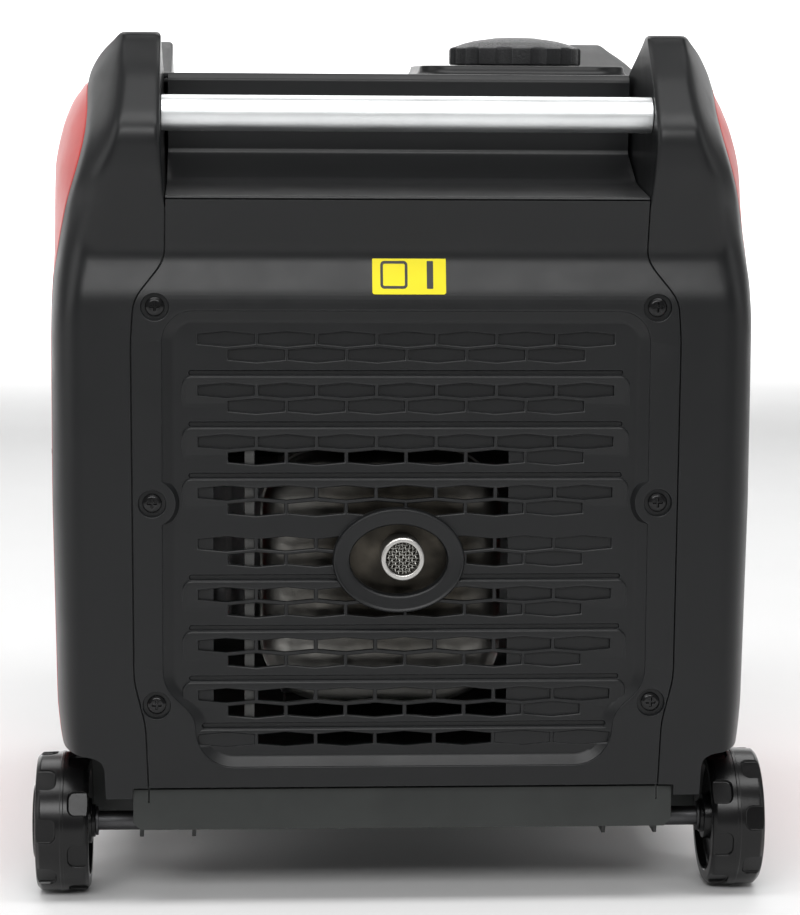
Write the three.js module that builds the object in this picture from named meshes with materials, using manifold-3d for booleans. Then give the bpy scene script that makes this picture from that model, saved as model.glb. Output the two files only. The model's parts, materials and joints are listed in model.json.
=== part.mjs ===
// A closed, wheeled inverter generator as an assembly of named solids.
// Units are millimetres. +Z is up, the exhaust end faces -Y and the front panel +Y.
// The origin is on the ground under the middle of the machine.
import * as THREE from 'three';
import { mergeVertices } from 'three/addons/utils/BufferGeometryUtils.js';
import Module from 'manifold-3d';

const wasm = await Module();
wasm.setup();

// ---------------------------------------------------------------- driving dimensions

const GAP = 0.3; // clearance between parts that touch
const WALL = 3; // plastic wall thickness
const SHEET = 2.5; // steel sheet thickness
const PANEL_Y = 261.4; // end panel planes, from the middle of the machine
const NOSE = 14.6; // how far the corner posts stand out past the end panels
const HALF_WIDTH = 225; // side panels at their widest
const POST_TOP = 555;
const DECK_TOP = 530; // flat top of the top cover
const CAP_TOP = 556;
const PANEL_TOP = 452.2; // top edge of the end panels, under the top cover's lip
const EDGE_DEPTH = 45; // depth of the corner covers' side edge
const BULGE_DEPTH = 137; // depth where the side panels reach their full width

// End elevation of a corner post, as [height, depth behind the end panel plane].
const POST_FRONT = [
  [74, 0], [392, 0], [419, 8], [452, -5], [470, -11.6], [491, -NOSE], [500, -12], [532, 16.5],
  [POST_TOP, 44],
];
// Inner edge of a corner cover, as [height, half width].
const POST_INNER = [
  [74, 162], [121, 163.9], [150, 171.1], [365, 172.2], [390, 170.4], [414, 151.2], [452, 150.6],
  [470, 151.8], [491, 152.9], [POST_TOP, 153.5],
];
// Crease between a corner cover's face and its flank, as [height, half width].
const POST_CREASE = [[74, 203], [400, 203], [417, 202], [469, 190], [488, 183], [510, 180], [POST_TOP, 176]];
// Side edge of a corner cover, where the side panel begins, as [height, half width].
const POST_EDGE = [
  [74, 210], [92, 216], [108, 219], [128, 221], [260, 223.4], [375, 223.3], [400, 222], [425, 217.5],
  [443, 213], [458, 209], [475, 204], [492, 199.5], [522, 198], [536, 192.5], [545, 186], [POST_TOP, 176.5],
];
// Back edge of the post's fin above the handle bay, as [height, depth].
const POST_FIN = [[449, 134], [529, 134], [543, 86.5], [POST_TOP, 50]];
// How full the corner between crease and side edge is: 0 a flat bevel, 1 a square corner.
const POST_FULLNESS = [[74, 0.8], [380, 0.8], [470, 0.15], [POST_TOP, 0.1]];
// Side panels away from the corners, as [height, half width].
const SIDE_FULL = [
  [82, 214], [92, 219], [108, 222.6], [128, 224.4], [150, HALF_WIDTH], [450, HALF_WIDTH], [472, 224.3],
  [485, 221.8], [498, 217.4], [512, 210.6], [523, 200],
];

const RIB_PITCH = 32.3;
const FIRST_RIB = 342.4;
const RIB_HALF = 135.3;
const SLOT = {
  pitch: 37.6, width: 35.1, middle: 9.2, end: 5.9, upperDrop: 9.4, lowerDrop: 19.3, lastRow: 111,
};
const WINDOW = { left: -112, right: 65, low: 120, high: 295 }; // the slots are open only inside this window
const FIELD = {
  half: 152.5, top: 383, straightEnd: 157, footHalf: 132, footTop: 130, bottom: 94, depth: 4.5,
};
const OUTLET = { x: -1.9, z: 226.7, outer: 13.8, bore: 10.6 };
const BEZEL = { x: -4.5, z: 226, outerX: 41.7, outerZ: 33.4, innerX: 30.6, innerZ: 22 };
const REAR_SCREWS = [[157, 385.7], [159.1, 262.4], [156.7, 134]];

const TUBE = { radius: 11.1, depth: 15, z: 505, bore: 9.3 };
const WHEEL = { radius: 45.5, inner: 198.1, outer: 238.4, depth: 58, lobes: 8, pocket: 2.2, bore: 6.55 };
const AXLE_RADIUS = 6.25;
const SKIRT = { half: 172, top: 80.4, bottom: 51.9 };
const GUARD = { far: 208, top: 112 }; // plates of the tray that close the wheel wells off
const CAP = { x: 89, y: -19, radius: 46, base: 537 };
const TANK = { x0: -100, x1: 190, y: 122, z0: 425, z1: 518, neck: 28, bore: 25 };
const CRANK = { z: 185, radius: 12 };
const DOOR = { y0: -105, y1: 85, z0: 150, z1: 400, gap: 1 };
const KNOB = { radius: 13, head: 4, wing: 6, hole: 4.3 };
const GRIP = { y: -60, z: 262 };

// ---------------------------------------------------------------- materials

/** A plain material of a color, dull or metallic. */
function finish(color, roughness, metalness) {
  return new THREE.MeshStandardMaterial({ color, roughness, metalness });
}

const plastic = (color, roughness = 0.55) => finish(color, roughness, 0);
const metal = (color, roughness = 0.35) => finish(color, roughness, 1);

const BLACK_PLASTIC = plastic(0x2b2d30);
const RED_PLASTIC = plastic(0xb3271f, 0.4);
const GLOSS_BLACK = plastic(0x1a1b1c, 0.25);
const GREY_PLASTIC = plastic(0x55585c);
const RUBBER = plastic(0x151515, 0.85);
const BLACK_STEEL = metal(0x2a2b2a, 0.45);
const ALUMINIUM = metal(0xd8dadc, 0.3);
const CAST_ALUMINIUM = metal(0x9a9c9e, 0.5);
const BRIGHT_STEEL = metal(0xb9b9b5, 0.3);
const MUFFLER_STEEL = metal(0x9b958a, 0.4);
const BRASS = metal(0xb08d45, 0.35);
const FOAM = plastic(0x222222, 0.95);

// ---------------------------------------------------------------- solids

/** Value of a [height, value] outline at a height, by straight lines between its points. */
function along(outline, z) {
  const last = outline.length - 1;
  if (z <= outline[0][0]) return outline[0][1];
  if (z >= outline[last][0]) return outline[last][1];
  const i = outline.findIndex(([height]) => height >= z);
  const [z0, v0] = outline[i - 1];
  const [z1, v1] = outline[i];
  return v0 + ((v1 - v0) * (z - z0)) / (z1 - z0);
}

/** Swaps two corners of every triangle, which turns the surface inside out. */
function flip(index) {
  for (let i = 0; i < index.length; i += 3) [index[i], index[i + 1]] = [index[i + 1], index[i]];
}

/** Six times the enclosed volume; negative when the faces point inward. */
function signedVolume(positions, index) {
  const corner = (i) => new THREE.Vector3().fromArray(positions, 3 * index[i]);
  let sum = 0;
  for (let i = 0; i < index.length; i += 3) sum += corner(i).dot(corner(i + 1).cross(corner(i + 2)));
  return sum;
}

/** A closed geometry as a manifold solid: vertices merged, slivers dropped, faces turned outward. */
function solid(geometry) {
  geometry.deleteAttribute('normal');
  geometry.deleteAttribute('uv');
  const merged = mergeVertices(geometry, 1e-4);
  const index = merged.index.array;
  const triangles = [];
  for (let i = 0; i < index.length; i += 3) {
    const [a, b, c] = index.slice(i, i + 3);
    if (a !== b && b !== c && c !== a) triangles.push(a, b, c);
  }
  const vertProperties = new Float32Array(merged.attributes.position.array);
  if (signedVolume(vertProperties, triangles) < 0) flip(triangles);
  const triVerts = new Uint32Array(triangles);
  return new wasm.Manifold(new wasm.Mesh({ numProp: 3, vertProperties, triVerts }));
}

/** A manifold solid back as a three.js geometry. */
function geometryOf(body) {
  const mesh = body.getMesh();
  const geometry = new THREE.BufferGeometry();
  geometry.setAttribute('position', new THREE.BufferAttribute(new Float32Array(mesh.vertProperties), 3));
  geometry.setIndex(new THREE.BufferAttribute(new Uint32Array(mesh.triVerts), 1));
  return geometry;
}

const join = (...bodies) => bodies.reduce((sum, body) => sum.add(body));
const cut = (body, ...tools) => tools.reduce((rest, tool) => rest.subtract(tool), body);

/** The same solid with its x and y multiplied by sx and sy, each 1 or -1. */
function reflected(body, sx, sy) {
  const geometry = geometryOf(body);
  geometry.applyMatrix4(new THREE.Matrix4().makeScale(sx, sy, 1));
  return solid(geometry);
}

function box(x0, x1, y0, y1, z0, z1) {
  const geometry = new THREE.BoxGeometry(x1 - x0, y1 - y0, z1 - z0);
  geometry.translate((x0 + x1) / 2, (y0 + y1) / 2, (z0 + z1) / 2);
  return solid(geometry);
}

// Each basis lays a drawing plane and its normal along the model's axes:
// 'x' draws in (Y, Z), 'y' draws in (X, Z) and 'z' draws in (X, Y).
const [X, Y, Z] = [new THREE.Vector3(1, 0, 0), new THREE.Vector3(0, 1, 0), new THREE.Vector3(0, 0, 1)];
const BASIS = {
  x: new THREE.Matrix4().makeBasis(Y, Z, X),
  y: new THREE.Matrix4().makeBasis(X, Z, Y),
  z: new THREE.Matrix4().makeBasis(X, Y, Z),
};

/** A shape extruded along an axis between two positions. An arc gets twice curveSegments. */
function prism(axis, shape, from, to, curveSegments = 2) {
  const geometry = new THREE.ExtrudeGeometry(shape, { depth: to - from, bevelEnabled: false, curveSegments });
  geometry.translate(0, 0, from);
  geometry.applyMatrix4(BASIS[axis]);
  return solid(geometry);
}

/** A profile of [radius, position along the axis] points turned about the axis through (u, v). */
function turned(axis, profile, u, v, sides = 16) {
  const geometry = new THREE.LatheGeometry(profile.map(([r, t]) => new THREE.Vector2(r, t)), sides);
  geometry.rotateX(Math.PI / 2);
  geometry.translate(u, v, 0);
  geometry.applyMatrix4(BASIS[axis]);
  return solid(geometry);
}

/** A straight round rod along an axis, centred at (u, v) of that axis's drawing plane. */
function rod(axis, radius, from, to, u, v, sides = 16) {
  return turned(axis, [[0, from], [radius, from], [radius, to], [0, to]], u, v, sides);
}

/** A tube or ring along an axis. */
function ring(axis, inner, outer, from, to, u, v, sides = 16) {
  return turned(axis, [[inner, from], [outer, from], [outer, to], [inner, to], [inner, from]], u, v, sides);
}

/** A polygon through [u, v] points. */
const polygon = (points) => new THREE.Shape(points.map(([u, v]) => new THREE.Vector2(u, v)));

/** A rectangle with round corners, centred at (u, v). */
function roundedRectangle(u, v, width, height, radius) {
  const [left, right, low, high] = [u - width / 2, u + width / 2, v - height / 2, v + height / 2];
  const shape = new THREE.Shape();
  shape.absarc(right - radius, low + radius, radius, -Math.PI / 2, 0);
  shape.absarc(right - radius, high - radius, radius, 0, Math.PI / 2);
  shape.absarc(left + radius, high - radius, radius, Math.PI / 2, Math.PI);
  shape.absarc(left + radius, low + radius, radius, Math.PI, 1.5 * Math.PI);
  shape.closePath();
  return shape;
}

/** A closed skin through rings of [x, y, z] points; flat ends are filled in the given plane. */
function loft(rings, plane) {
  const flatten = (points) => points.map((point) => new THREE.Vector2(point[plane[0]], point[plane[1]]));
  const clockwise = THREE.ShapeUtils.isClockWise(flatten(rings[0]));
  const ordered = clockwise ? rings.map((ring) => [...ring].reverse()) : rings;
  const count = ordered[0].length;
  const index = [];
  for (let level = 0; level + 1 < ordered.length; level += 1) {
    for (let i = 0; i < count; i += 1) {
      const a = level * count + i;
      const b = level * count + ((i + 1) % count);
      index.push(a, b, b + count, a, b + count, a + count);
    }
  }
  const lastRing = (ordered.length - 1) * count;
  for (const [a, b, c] of THREE.ShapeUtils.triangulateShape(flatten(ordered[0]), [])) index.push(c, b, a);
  for (const triangle of THREE.ShapeUtils.triangulateShape(flatten(ordered.at(-1)), [])) {
    index.push(...triangle.map((i) => i + lastRing));
  }
  const geometry = new THREE.BufferGeometry();
  geometry.setAttribute('position', new THREE.Float32BufferAttribute(ordered.flat(2), 3));
  geometry.setIndex(index);
  return solid(geometry);
}

// ---------------------------------------------------------------- assembly

const generator = new THREE.Group();

/** Adds one finished sub-part to the assembly. */
function part(name, body, material) {
  const mesh = new THREE.Mesh(geometryOf(body), material);
  mesh.name = name;
  generator.add(mesh);
}

const SIDES = [['left', -1], ['right', 1]];
const ENDS = [['rear', -1], ['front', 1]];

// ---------------------------------------------------------------- corner covers

/** Face and flank of a corner cover at a height, inner edge to side edge, moved in by an inset. */
function coverFace(z, inset, edgeDepth) {
  const front = along(POST_FRONT, z) + inset;
  const edge = along(POST_EDGE, z) - inset;
  const start = new THREE.Vector2(along(POST_CREASE, z) - inset / 2, front);
  const end = new THREE.Vector2(edge, edgeDepth);
  const middle = start.clone().lerp(end, 0.5).lerp(new THREE.Vector2(edge, front), along(POST_FULLNESS, z));
  const flank = new THREE.QuadraticBezierCurve(start, middle, end).getPoints(3);
  return [[along(POST_INNER, z) + inset, front], ...flank.map((p) => [p.x, p.y])];
}

const atHeight = (points, z) => points.map(([x, depth]) => [x, depth - PANEL_Y, z]);

/** Section of a cover's lower part, filled back to its side edge. */
function lowSection(z) {
  const inner = along(POST_INNER, z);
  return atHeight([...coverFace(z, 0, EDGE_DEPTH), [inner, EDGE_DEPTH]], z);
}

/** Section of the space behind a cover's lower part, open to the back and to the panel. */
function lowHollow(z) {
  const [[, front], ...flank] = coverFace(z, WALL, EDGE_DEPTH + 1);
  return atHeight([[100, front], ...flank, [100, EDGE_DEPTH + 1]], z);
}

/** Section of a post with its fin, or of the hollow in it; the fin tucks behind the side panel. */
function postSection(z, inset) {
  const tuck = z < SIDE_FULL.at(-1)[0] + 2 * GAP ? WALL + 1 : 0.05;
  const [back, fin] = [EDGE_DEPTH - inset, along(POST_FIN, z) - inset];
  const side = along(POST_EDGE, z) - tuck - inset;
  const inner = along(POST_INNER, z) + inset;
  return atHeight([...coverFace(z, inset, back), [side, back], [side, fin], [inner, fin]], z);
}

/** Every height between two where one of the cover's outlines bends, with the two ends. */
function bends(low, high) {
  const outlines = [POST_FRONT, POST_INNER, POST_CREASE, POST_EDGE, POST_FIN];
  const inside = outlines.flat().map(([z]) => z).filter((z) => z > low && z < high);
  return [...new Set([low, ...inside, high])].sort((a, b) => a - b);
}

/** The rear right corner cover with its post. The rear pair is cut away over the wheels. */
function cornerCover(overWheel) {
  const ledge = SIDE_FULL.at(-1)[0] + 2 * GAP;
  const postHeights = [...bends(449, ledge - 0.2), ...bends(ledge + 0.2, POST_TOP)];
  const low = loft(bends(74, 452).map(lowSection), [0, 1]);
  const post = loft(postHeights.map((z) => postSection(z, 0)), [0, 1]);
  const hollow = loft(bends(70, 452).map(lowHollow), [0, 1]);
  const postHollow = loft(bends(440, 515).map((z) => postSection(z, WALL)), [0, 1]);
  const skirtNotch = box(100, SKIRT.half + GAP, -PANEL_Y - 20, -PANEL_Y + 60, 60, SKIRT.top + GAP);
  const cover = cut(join(low, post), hollow, postHollow, skirtNotch);
  if (!overWheel) return cover;
  const arch = polygon([
    [188, 60], [189.8, 93], [191.8, 97.5], [197, 100.3], [205, 101.5], [219, 104.5], [240, 107], [240, 60],
  ]);
  return cut(cover, prism('y', arch, -PANEL_Y - 20, -PANEL_Y + 60));
}

function addCornerCovers() {
  for (const [end, sy] of ENDS) {
    const cover = cornerCover(end === 'rear');
    for (const [side, sx] of SIDES) {
      part(`${end}_${side}_corner_cover`, reflected(cover, sx, -sy), BLACK_PLASTIC);
    }
  }
}

// ---------------------------------------------------------------- side panels and service door

/** How far a side panel has swollen from the corner covers' edge to its full width, 0 to 1. */
function swelling(depth) {
  const t = Math.min(1, (depth - EDGE_DEPTH) / (BULGE_DEPTH - EDGE_DEPTH));
  return t * (2 - t);
}

/** A thin section of a side panel at a depth, as [x, y, z] points. */
function sideSection(depth, y) {
  const share = swelling(depth);
  const outer = SIDE_FULL.map(([z, full]) => {
    const edge = along(POST_EDGE, z) + GAP;
    return [edge + (full - edge) * share, y, z];
  });
  const top = SIDE_FULL.at(-1)[0];
  const inner = outer.map(([x, , z]) => [x - WALL, y, z === top ? z - WALL : z]).reverse();
  return [...outer, ...inner];
}

/** The right side panel, arched over the wheel at the rear. */
function sidePanel() {
  const depths = [EDGE_DEPTH + GAP, 60, 80, 105, BULGE_DEPTH];
  const rear = depths.map((depth) => sideSection(depth, depth - PANEL_Y));
  const front = [...depths].reverse().map((depth) => sideSection(depth, PANEL_Y - depth));
  const arch = rod('x', WHEEL.radius + 12, 150, 240, WHEEL.depth - PANEL_Y, WHEEL.radius, 32);
  return cut(loft([...rear, ...front], [0, 2]), arch);
}

function addSidePanels() {
  const doorway = box(-240, -200, DOOR.y0, DOOR.y1, DOOR.z0, DOOR.z1);
  part('left_side_panel', cut(reflected(sidePanel(), -1, 1), doorway), RED_PLASTIC);
  const ropeHole = rod('x', 7, 200, 240, GRIP.y, GRIP.z, 16);
  part('right_side_panel', cut(sidePanel(), ropeHole), RED_PLASTIC);
}

function addServiceDoor() {
  const [y, z] = [(DOOR.y0 + DOOR.y1) / 2, (DOOR.z0 + DOOR.z1) / 2];
  const [width, height] = [DOOR.y1 - DOOR.y0 - 2 * DOOR.gap, DOOR.z1 - DOOR.z0 - 2 * DOOR.gap];
  const outer = -HALF_WIDTH;
  const knobY = DOOR.y0 + 18;
  const leaf = prism('x', roundedRectangle(y, z, width, height, 1), outer, outer + WALL, 1);
  const stemHole = rod('x', KNOB.hole, outer - 1, outer + WALL + 1, knobY, z, 16);
  part('service_door', cut(leaf, stemHole), RED_PLASTIC);
  const head = rod('x', KNOB.radius, outer - KNOB.head, outer - GAP, knobY, z);
  const wing = box(outer - KNOB.wing, outer - KNOB.head + 1, knobY - 11, knobY + 11, z - 2.5, z + 2.5);
  const stem = rod('x', KNOB.hole - GAP, outer - 1, outer + WALL + 1, knobY, z, 16);
  part('service_door_knob', join(head, wing, stem), BLACK_PLASTIC);
}

// ---------------------------------------------------------------- top cover and fuel system

/** Side elevation of one end of the top cover, as [depth, height], from ledge lip to deck. */
const COVER_END = [[-4.2, 452.7], [-2.5, 454.6], [58, 461], [100, 479], [97, 526], [100, DECK_TOP]];
/** The inside of that section. */
const COVER_END_INSIDE = [[0.5, 452.7], [58.6, 458], [103, 477.5], [100.2, 525], [101.5, DECK_TOP - WALL]];

function addTopCover() {
  const fromPlane = ([depth, z]) => [depth - PANEL_Y, z];
  const acrossY = ([y, z]) => [-y, z];
  const outer = COVER_END.map(fromPlane);
  const inner = COVER_END_INSIDE.map(fromPlane);
  const outside = [...outer, ...outer.map(acrossY).reverse()];
  const inside = [...inner.map(acrossY), ...inner.reverse()];
  const band = polygon([...outside, ...inside]);
  const halfBand = along(POST_INNER, 452) - GAP;
  const deckHalf = along(POST_EDGE, 522) + 1;
  const deckY = PANEL_Y - POST_FIN[1][1] - GAP;
  const deck = [
    [-deckHalf, 523.6], [-deckHalf + 2, 526.5], [-190, DECK_TOP], [190, DECK_TOP], [deckHalf - 2, 526.5],
    [deckHalf, 523.6], [188, DECK_TOP - WALL], [-188, DECK_TOP - WALL],
  ];
  const plate = prism('z', roundedRectangle(CAP.x, CAP.y, 140, 140, 22), DECK_TOP - WALL, CAP.base - 0.7);
  const neckHole = rod('z', TANK.neck + 3, 400, 600, CAP.x, CAP.y);
  const cover = join(prism('x', band, -halfBand, halfBand), prism('y', polygon(deck), -deckY, deckY), plate);
  part('top_cover', cut(cover, neckHole), BLACK_PLASTIC);
}

function addFuelSystem() {
  const { x0, x1, y, z0, z1 } = TANK;
  const neckTop = CAP.base - 2.8;
  const shell = box(x0, x1, -y, y, z0, z1);
  const inside = box(x0 + WALL, x1 - WALL, -y + WALL, y - WALL, z0 + WALL, z1 - WALL);
  const neck = rod('z', TANK.neck, z1 - 1, neckTop, CAP.x, CAP.y);
  const bore = rod('z', TANK.bore, z1 - WALL - 1, neckTop + 1, CAP.x, CAP.y);
  part('fuel_tank', cut(join(shell, neck), inside, bore), BLACK_STEEL);

  const plug = TANK.bore - 0.5;
  const insert = [
    [0, 503], [plug, 503], [plug, neckTop + GAP], [30, neckTop + GAP], [30, CAP.base - GAP],
    [12, CAP.base - GAP], [12, CAP_TOP - WALL - GAP], [0, CAP_TOP - WALL - GAP],
  ];
  part('fuel_cap_insert', turned('z', insert, CAP.x, CAP.y), GREY_PLASTIC);

  const grip = new THREE.Shape();
  const lobes = 12;
  const steps = 4;
  for (let i = 0; i < lobes * steps; i += 1) {
    const angle = (2 * Math.PI * i) / (lobes * steps);
    const radius = CAP.radius - 1.8 * Math.max(0, -Math.cos(lobes * angle));
    const point = [CAP.x + radius * Math.cos(angle), CAP.y + radius * Math.sin(angle)];
    if (i === 0) grip.moveTo(...point);
    else grip.lineTo(...point);
  }
  grip.closePath();
  const domeProfile = [[0, 548], [CAP.radius - 3, 548], [36, 554.5], [24, CAP_TOP], [0, CAP_TOP]];
  const dome = turned('z', domeProfile, CAP.x, CAP.y, 24);
  const [wide, ceiling] = [CAP.radius - 6, CAP_TOP - WALL];
  const cavity = turned('z', [[0, 500], [wide, 500], [wide, 546], [32, ceiling], [0, ceiling]], CAP.x, CAP.y);
  part('fuel_cap_shell', cut(join(prism('z', grip, CAP.base, 549), dome), cavity), BLACK_PLASTIC);
}

// ---------------------------------------------------------------- rear panel

/** The panels' plain front elevation, which follows the corner covers' inner edge. */
function panelOutline() {
  const heights = [SKIRT.top + 2 * GAP, 121, 150, 365, 390, 414, PANEL_TOP];
  const right = heights.map((z) => [along(POST_INNER, z) - 0.6, z]);
  const left = [...right].reverse().map(([x, z]) => [-x, z]);
  return polygon([...right, ...left]);
}

/** A thin end panel in the plane's side elevation, with the sloped shoulder at its top. */
function panelSkin() {
  const front = [70, 392, 419, PANEL_TOP].map((z) => [along(POST_FRONT, z), z]);
  const back = [...front].reverse().map(([depth, z]) => [depth + WALL, z]);
  const profile = [...front, ...back].map(([depth, z]) => [depth - PANEL_Y, z]);
  const elevation = prism('y', panelOutline(), -PANEL_Y - 20, -PANEL_Y + 20);
  return prism('x', polygon(profile), -180, 180).intersect(elevation);
}

/** Outline of the recessed slot field, grown outward by a margin. */
function fieldOutline(margin) {
  const half = FIELD.half + margin;
  const foot = FIELD.footHalf + margin;
  const [top, low] = [FIELD.top + margin, FIELD.bottom - margin];
  const [corner, footCorner] = [19 + margin, 24 + margin];
  const shape = new THREE.Shape();
  shape.moveTo(foot, low + footCorner);
  shape.bezierCurveTo(foot, FIELD.footTop + 6, half, FIELD.straightEnd - 22, half, FIELD.straightEnd);
  shape.absarc(half - corner, top - corner, corner, 0, Math.PI / 2);
  shape.absarc(-half + corner, top - corner, corner, Math.PI / 2, Math.PI);
  shape.lineTo(-half, FIELD.straightEnd);
  shape.bezierCurveTo(-half, FIELD.straightEnd - 22, -foot, FIELD.footTop + 6, -foot, low + footCorner);
  shape.absarc(-foot + footCorner, low + footCorner, footCorner, Math.PI, 1.5 * Math.PI);
  shape.absarc(foot - footCorner, low + footCorner, footCorner, 1.5 * Math.PI, 2 * Math.PI);
  shape.closePath();
  return shape;
}

/** Centres of the slots that are open, row by row, as [x, z]. */
function openSlots() {
  const rows = [];
  for (let i = 0; i < 8; i += 1) {
    const rib = FIRST_RIB + RIB_PITCH * (1 - i);
    rows.push({ z: rib - SLOT.upperDrop, count: 7 }, { z: rib - SLOT.lowerDrop, count: 6 });
  }
  const slots = rows.flatMap(({ z, count }) => Array.from({ length: count }, (_, i) => {
    return [(i - (count - 1) / 2) * SLOT.pitch, z];
  }));
  const half = SLOT.width / 2;
  const { left, right, low, high } = WINDOW;
  const open = slots.filter(([x, z]) => z > low && z < high && x + half > left && x - half < right);
  const lastRow = [-2, -1, 0, 1].map((i) => [i * SLOT.pitch, SLOT.lastRow]);
  return [...open, ...lastRow];
}

/** A flat hexagonal slot, kept inside the open window. */
function slotShape([x, z]) {
  const half = SLOT.width / 2;
  const [left, right] = [Math.max(x - half, WINDOW.left), Math.min(x + half, WINDOW.right)];
  const rise = (at) => SLOT.end / 2 + ((SLOT.middle - SLOT.end) / 2) * (1 - Math.abs(at - x) / half);
  const stations = [left, ...(x > left && x < right ? [x] : []), right];
  const upper = stations.map((at) => [at, z + rise(at)]);
  const lower = [...stations].reverse().map((at) => [at, z - rise(at)]);
  return polygon([...upper, ...lower]);
}

function ellipse(radiusX, radiusZ) {
  const shape = new THREE.Shape();
  shape.absellipse(BEZEL.x, BEZEL.z, radiusX, radiusZ, 0, 2 * Math.PI);
  return shape;
}

/** The recess, boss and bore of one rear panel screw. */
function screwSeat(x, z) {
  const boss = rod('y', 9.7, -PANEL_Y + 1, -PANEL_Y + 7.5, x, z, 12);
  const recess = rod('y', 8.7, -PANEL_Y - 5, -PANEL_Y + 3.5, x, z, 12);
  const bore = rod('y', 2.6, -PANEL_Y, -PANEL_Y + 10, x, z, 6);
  return { boss, hole: join(recess, bore) };
}

function rearPanel() {
  const front = -PANEL_Y;
  const seats = REAR_SCREWS.flatMap(([x, z]) => [screwSeat(x, z), screwSeat(-x, z)]);
  const [middleX, middleZ] = REAR_SCREWS[1];
  const sideBosses = [1, -1].map((side) => rod('y', 15, front - 5, front + 20, side * middleX, middleZ));
  const tray = prism('y', fieldOutline(WALL), front + 0.5, front + FIELD.depth + WALL, 3);
  const field = cut(prism('y', fieldOutline(0), front - 5, front + FIELD.depth, 3), ...sideBosses);
  const ribs = [0, 1, 2, 4, 5, 6].map((i) => {
    const z = FIRST_RIB - i * RIB_PITCH;
    return box(-RIB_HALF, RIB_HALF, front + 1, front + FIELD.depth + 1, z - 2, z + 2);
  });
  const lastRib = box(-127.2, 127.2, front + 1, front + FIELD.depth + 1, 116.2, 120.2);
  const bezel = prism('y', ellipse(BEZEL.outerX, BEZEL.outerZ), front - 2, front + FIELD.depth + WALL, 10);
  const eye = prism('y', ellipse(BEZEL.innerX, BEZEL.innerZ), front - 5, front + 20, 10);
  const slots = openSlots().map((slot) => prism('y', slotShape(slot), front - 1, front + 20));
  const skin = cut(join(panelSkin(), tray), field);
  const grille = join(cut(join(skin, ...seats.map((seat) => seat.boss)), ...slots), ...ribs, lastRib, bezel);
  return cut(grille, eye, ...seats.map((seat) => seat.hole));
}

function addRearPanel() {
  part('rear_panel', rearPanel(), BLACK_PLASTIC);
  const places = REAR_SCREWS.flatMap(([x, z]) => [[-x, z], [x, z]]);
  const head = -PANEL_Y + 0.8;
  const seat = -PANEL_Y + 3.5 - GAP;
  const tip = seat + 11;
  const profile = [[0, head], [4.5, head], [6, head + 1], [6, seat], [2.2, seat], [2.2, tip], [0, tip]];
  places.forEach(([x, z], i) => {
    part(`rear_panel_screw_${i + 1}`, turned('y', profile, x, z, 8), BLACK_STEEL);
  });
}

// ---------------------------------------------------------------- handles

function addHandles() {
  const half = along(POST_INNER, TUBE.z) - GAP;
  for (const [end, sy] of ENDS) {
    const y = sy * (PANEL_Y - TUBE.depth);
    part(`${end}_handle_tube`, ring('x', TUBE.bore, TUBE.radius, -half, half, y, TUBE.z, 24), ALUMINIUM);
  }
}

// ---------------------------------------------------------------- base, wheels and stand

const AXLE_Y = WHEEL.depth - PANEL_Y;
const AXLE_Z = WHEEL.radius;

function addBaseTray() {
  const { half, top, bottom } = SKIRT;
  const rearY = -PANEL_Y + 6.5;
  const floor = box(-half, half, rearY, -rearY, top - SHEET, top);
  const corner = 4;
  const skirt = polygon([
    [-half, top], [half, top], [half, bottom + corner], [half - corner, bottom],
    [-half + corner, bottom], [-half, bottom + corner],
  ]);
  const skirts = [rearY, -rearY - SHEET].map((y) => prism('y', skirt, y, y + SHEET));
  const flanges = [1, -1].map((side) => {
    return box(...(side > 0 ? [half - SHEET, half] : [-half, -half + SHEET]), rearY, -rearY, bottom + 5, top);
  });
  const guardY = AXLE_Y + WHEEL.radius + 8;
  const guards = [1, -1].map((side) => {
    const [near, far] = side > 0 ? [half - SHEET, GUARD.far] : [-GUARD.far, SHEET - half];
    return box(near, far, guardY, guardY + SHEET, bottom, GUARD.top);
  });
  part('base_tray', join(floor, ...skirts, ...flanges, ...guards), BLACK_STEEL);
}

/** Gear-like outline of half a wheel's tread, turned by an angle. */
function treadOutline(turn) {
  const shape = new THREE.Shape();
  const half = Math.PI / WHEEL.lobes;
  for (let i = 0; i < WHEEL.lobes; i += 1) {
    const start = turn + 2 * half * i;
    shape.absarc(AXLE_Y, AXLE_Z, WHEEL.radius, start, start + half);
    shape.absarc(AXLE_Y, AXLE_Z, WHEEL.radius - WHEEL.pocket, start + half, start + 2 * half);
  }
  shape.closePath();
  return shape;
}

/** The right wheel: two staggered treads either side of a plain centre ridge. */
function wheel() {
  const { inner, outer, radius, bore } = WHEEL;
  const middle = (inner + outer) / 2;
  const rim = outer - 3.5;
  const treads = [
    prism('x', treadOutline(0), inner + 2, middle - 2, 1),
    prism('x', treadOutline(Math.PI / WHEEL.lobes), middle + 2, rim, 1),
  ];
  const ridge = rod('x', radius, middle - 3, middle + 3, AXLE_Y, AXLE_Z, 24);
  const hub = turned('x', [
    [0, inner], [13, inner], [14, inner + 4], [36, inner + 5],
    [36, rim - 1], [22, outer - 2], [12, outer], [0, outer],
  ], AXLE_Y, AXLE_Z);
  const dish = ring('x', 18, 34, inner - 1, inner + 8, AXLE_Y, AXLE_Z);
  return cut(join(...treads, ridge, hub), dish, rod('x', bore, inner - 1, outer - 6, AXLE_Y, AXLE_Z));
}

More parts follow.
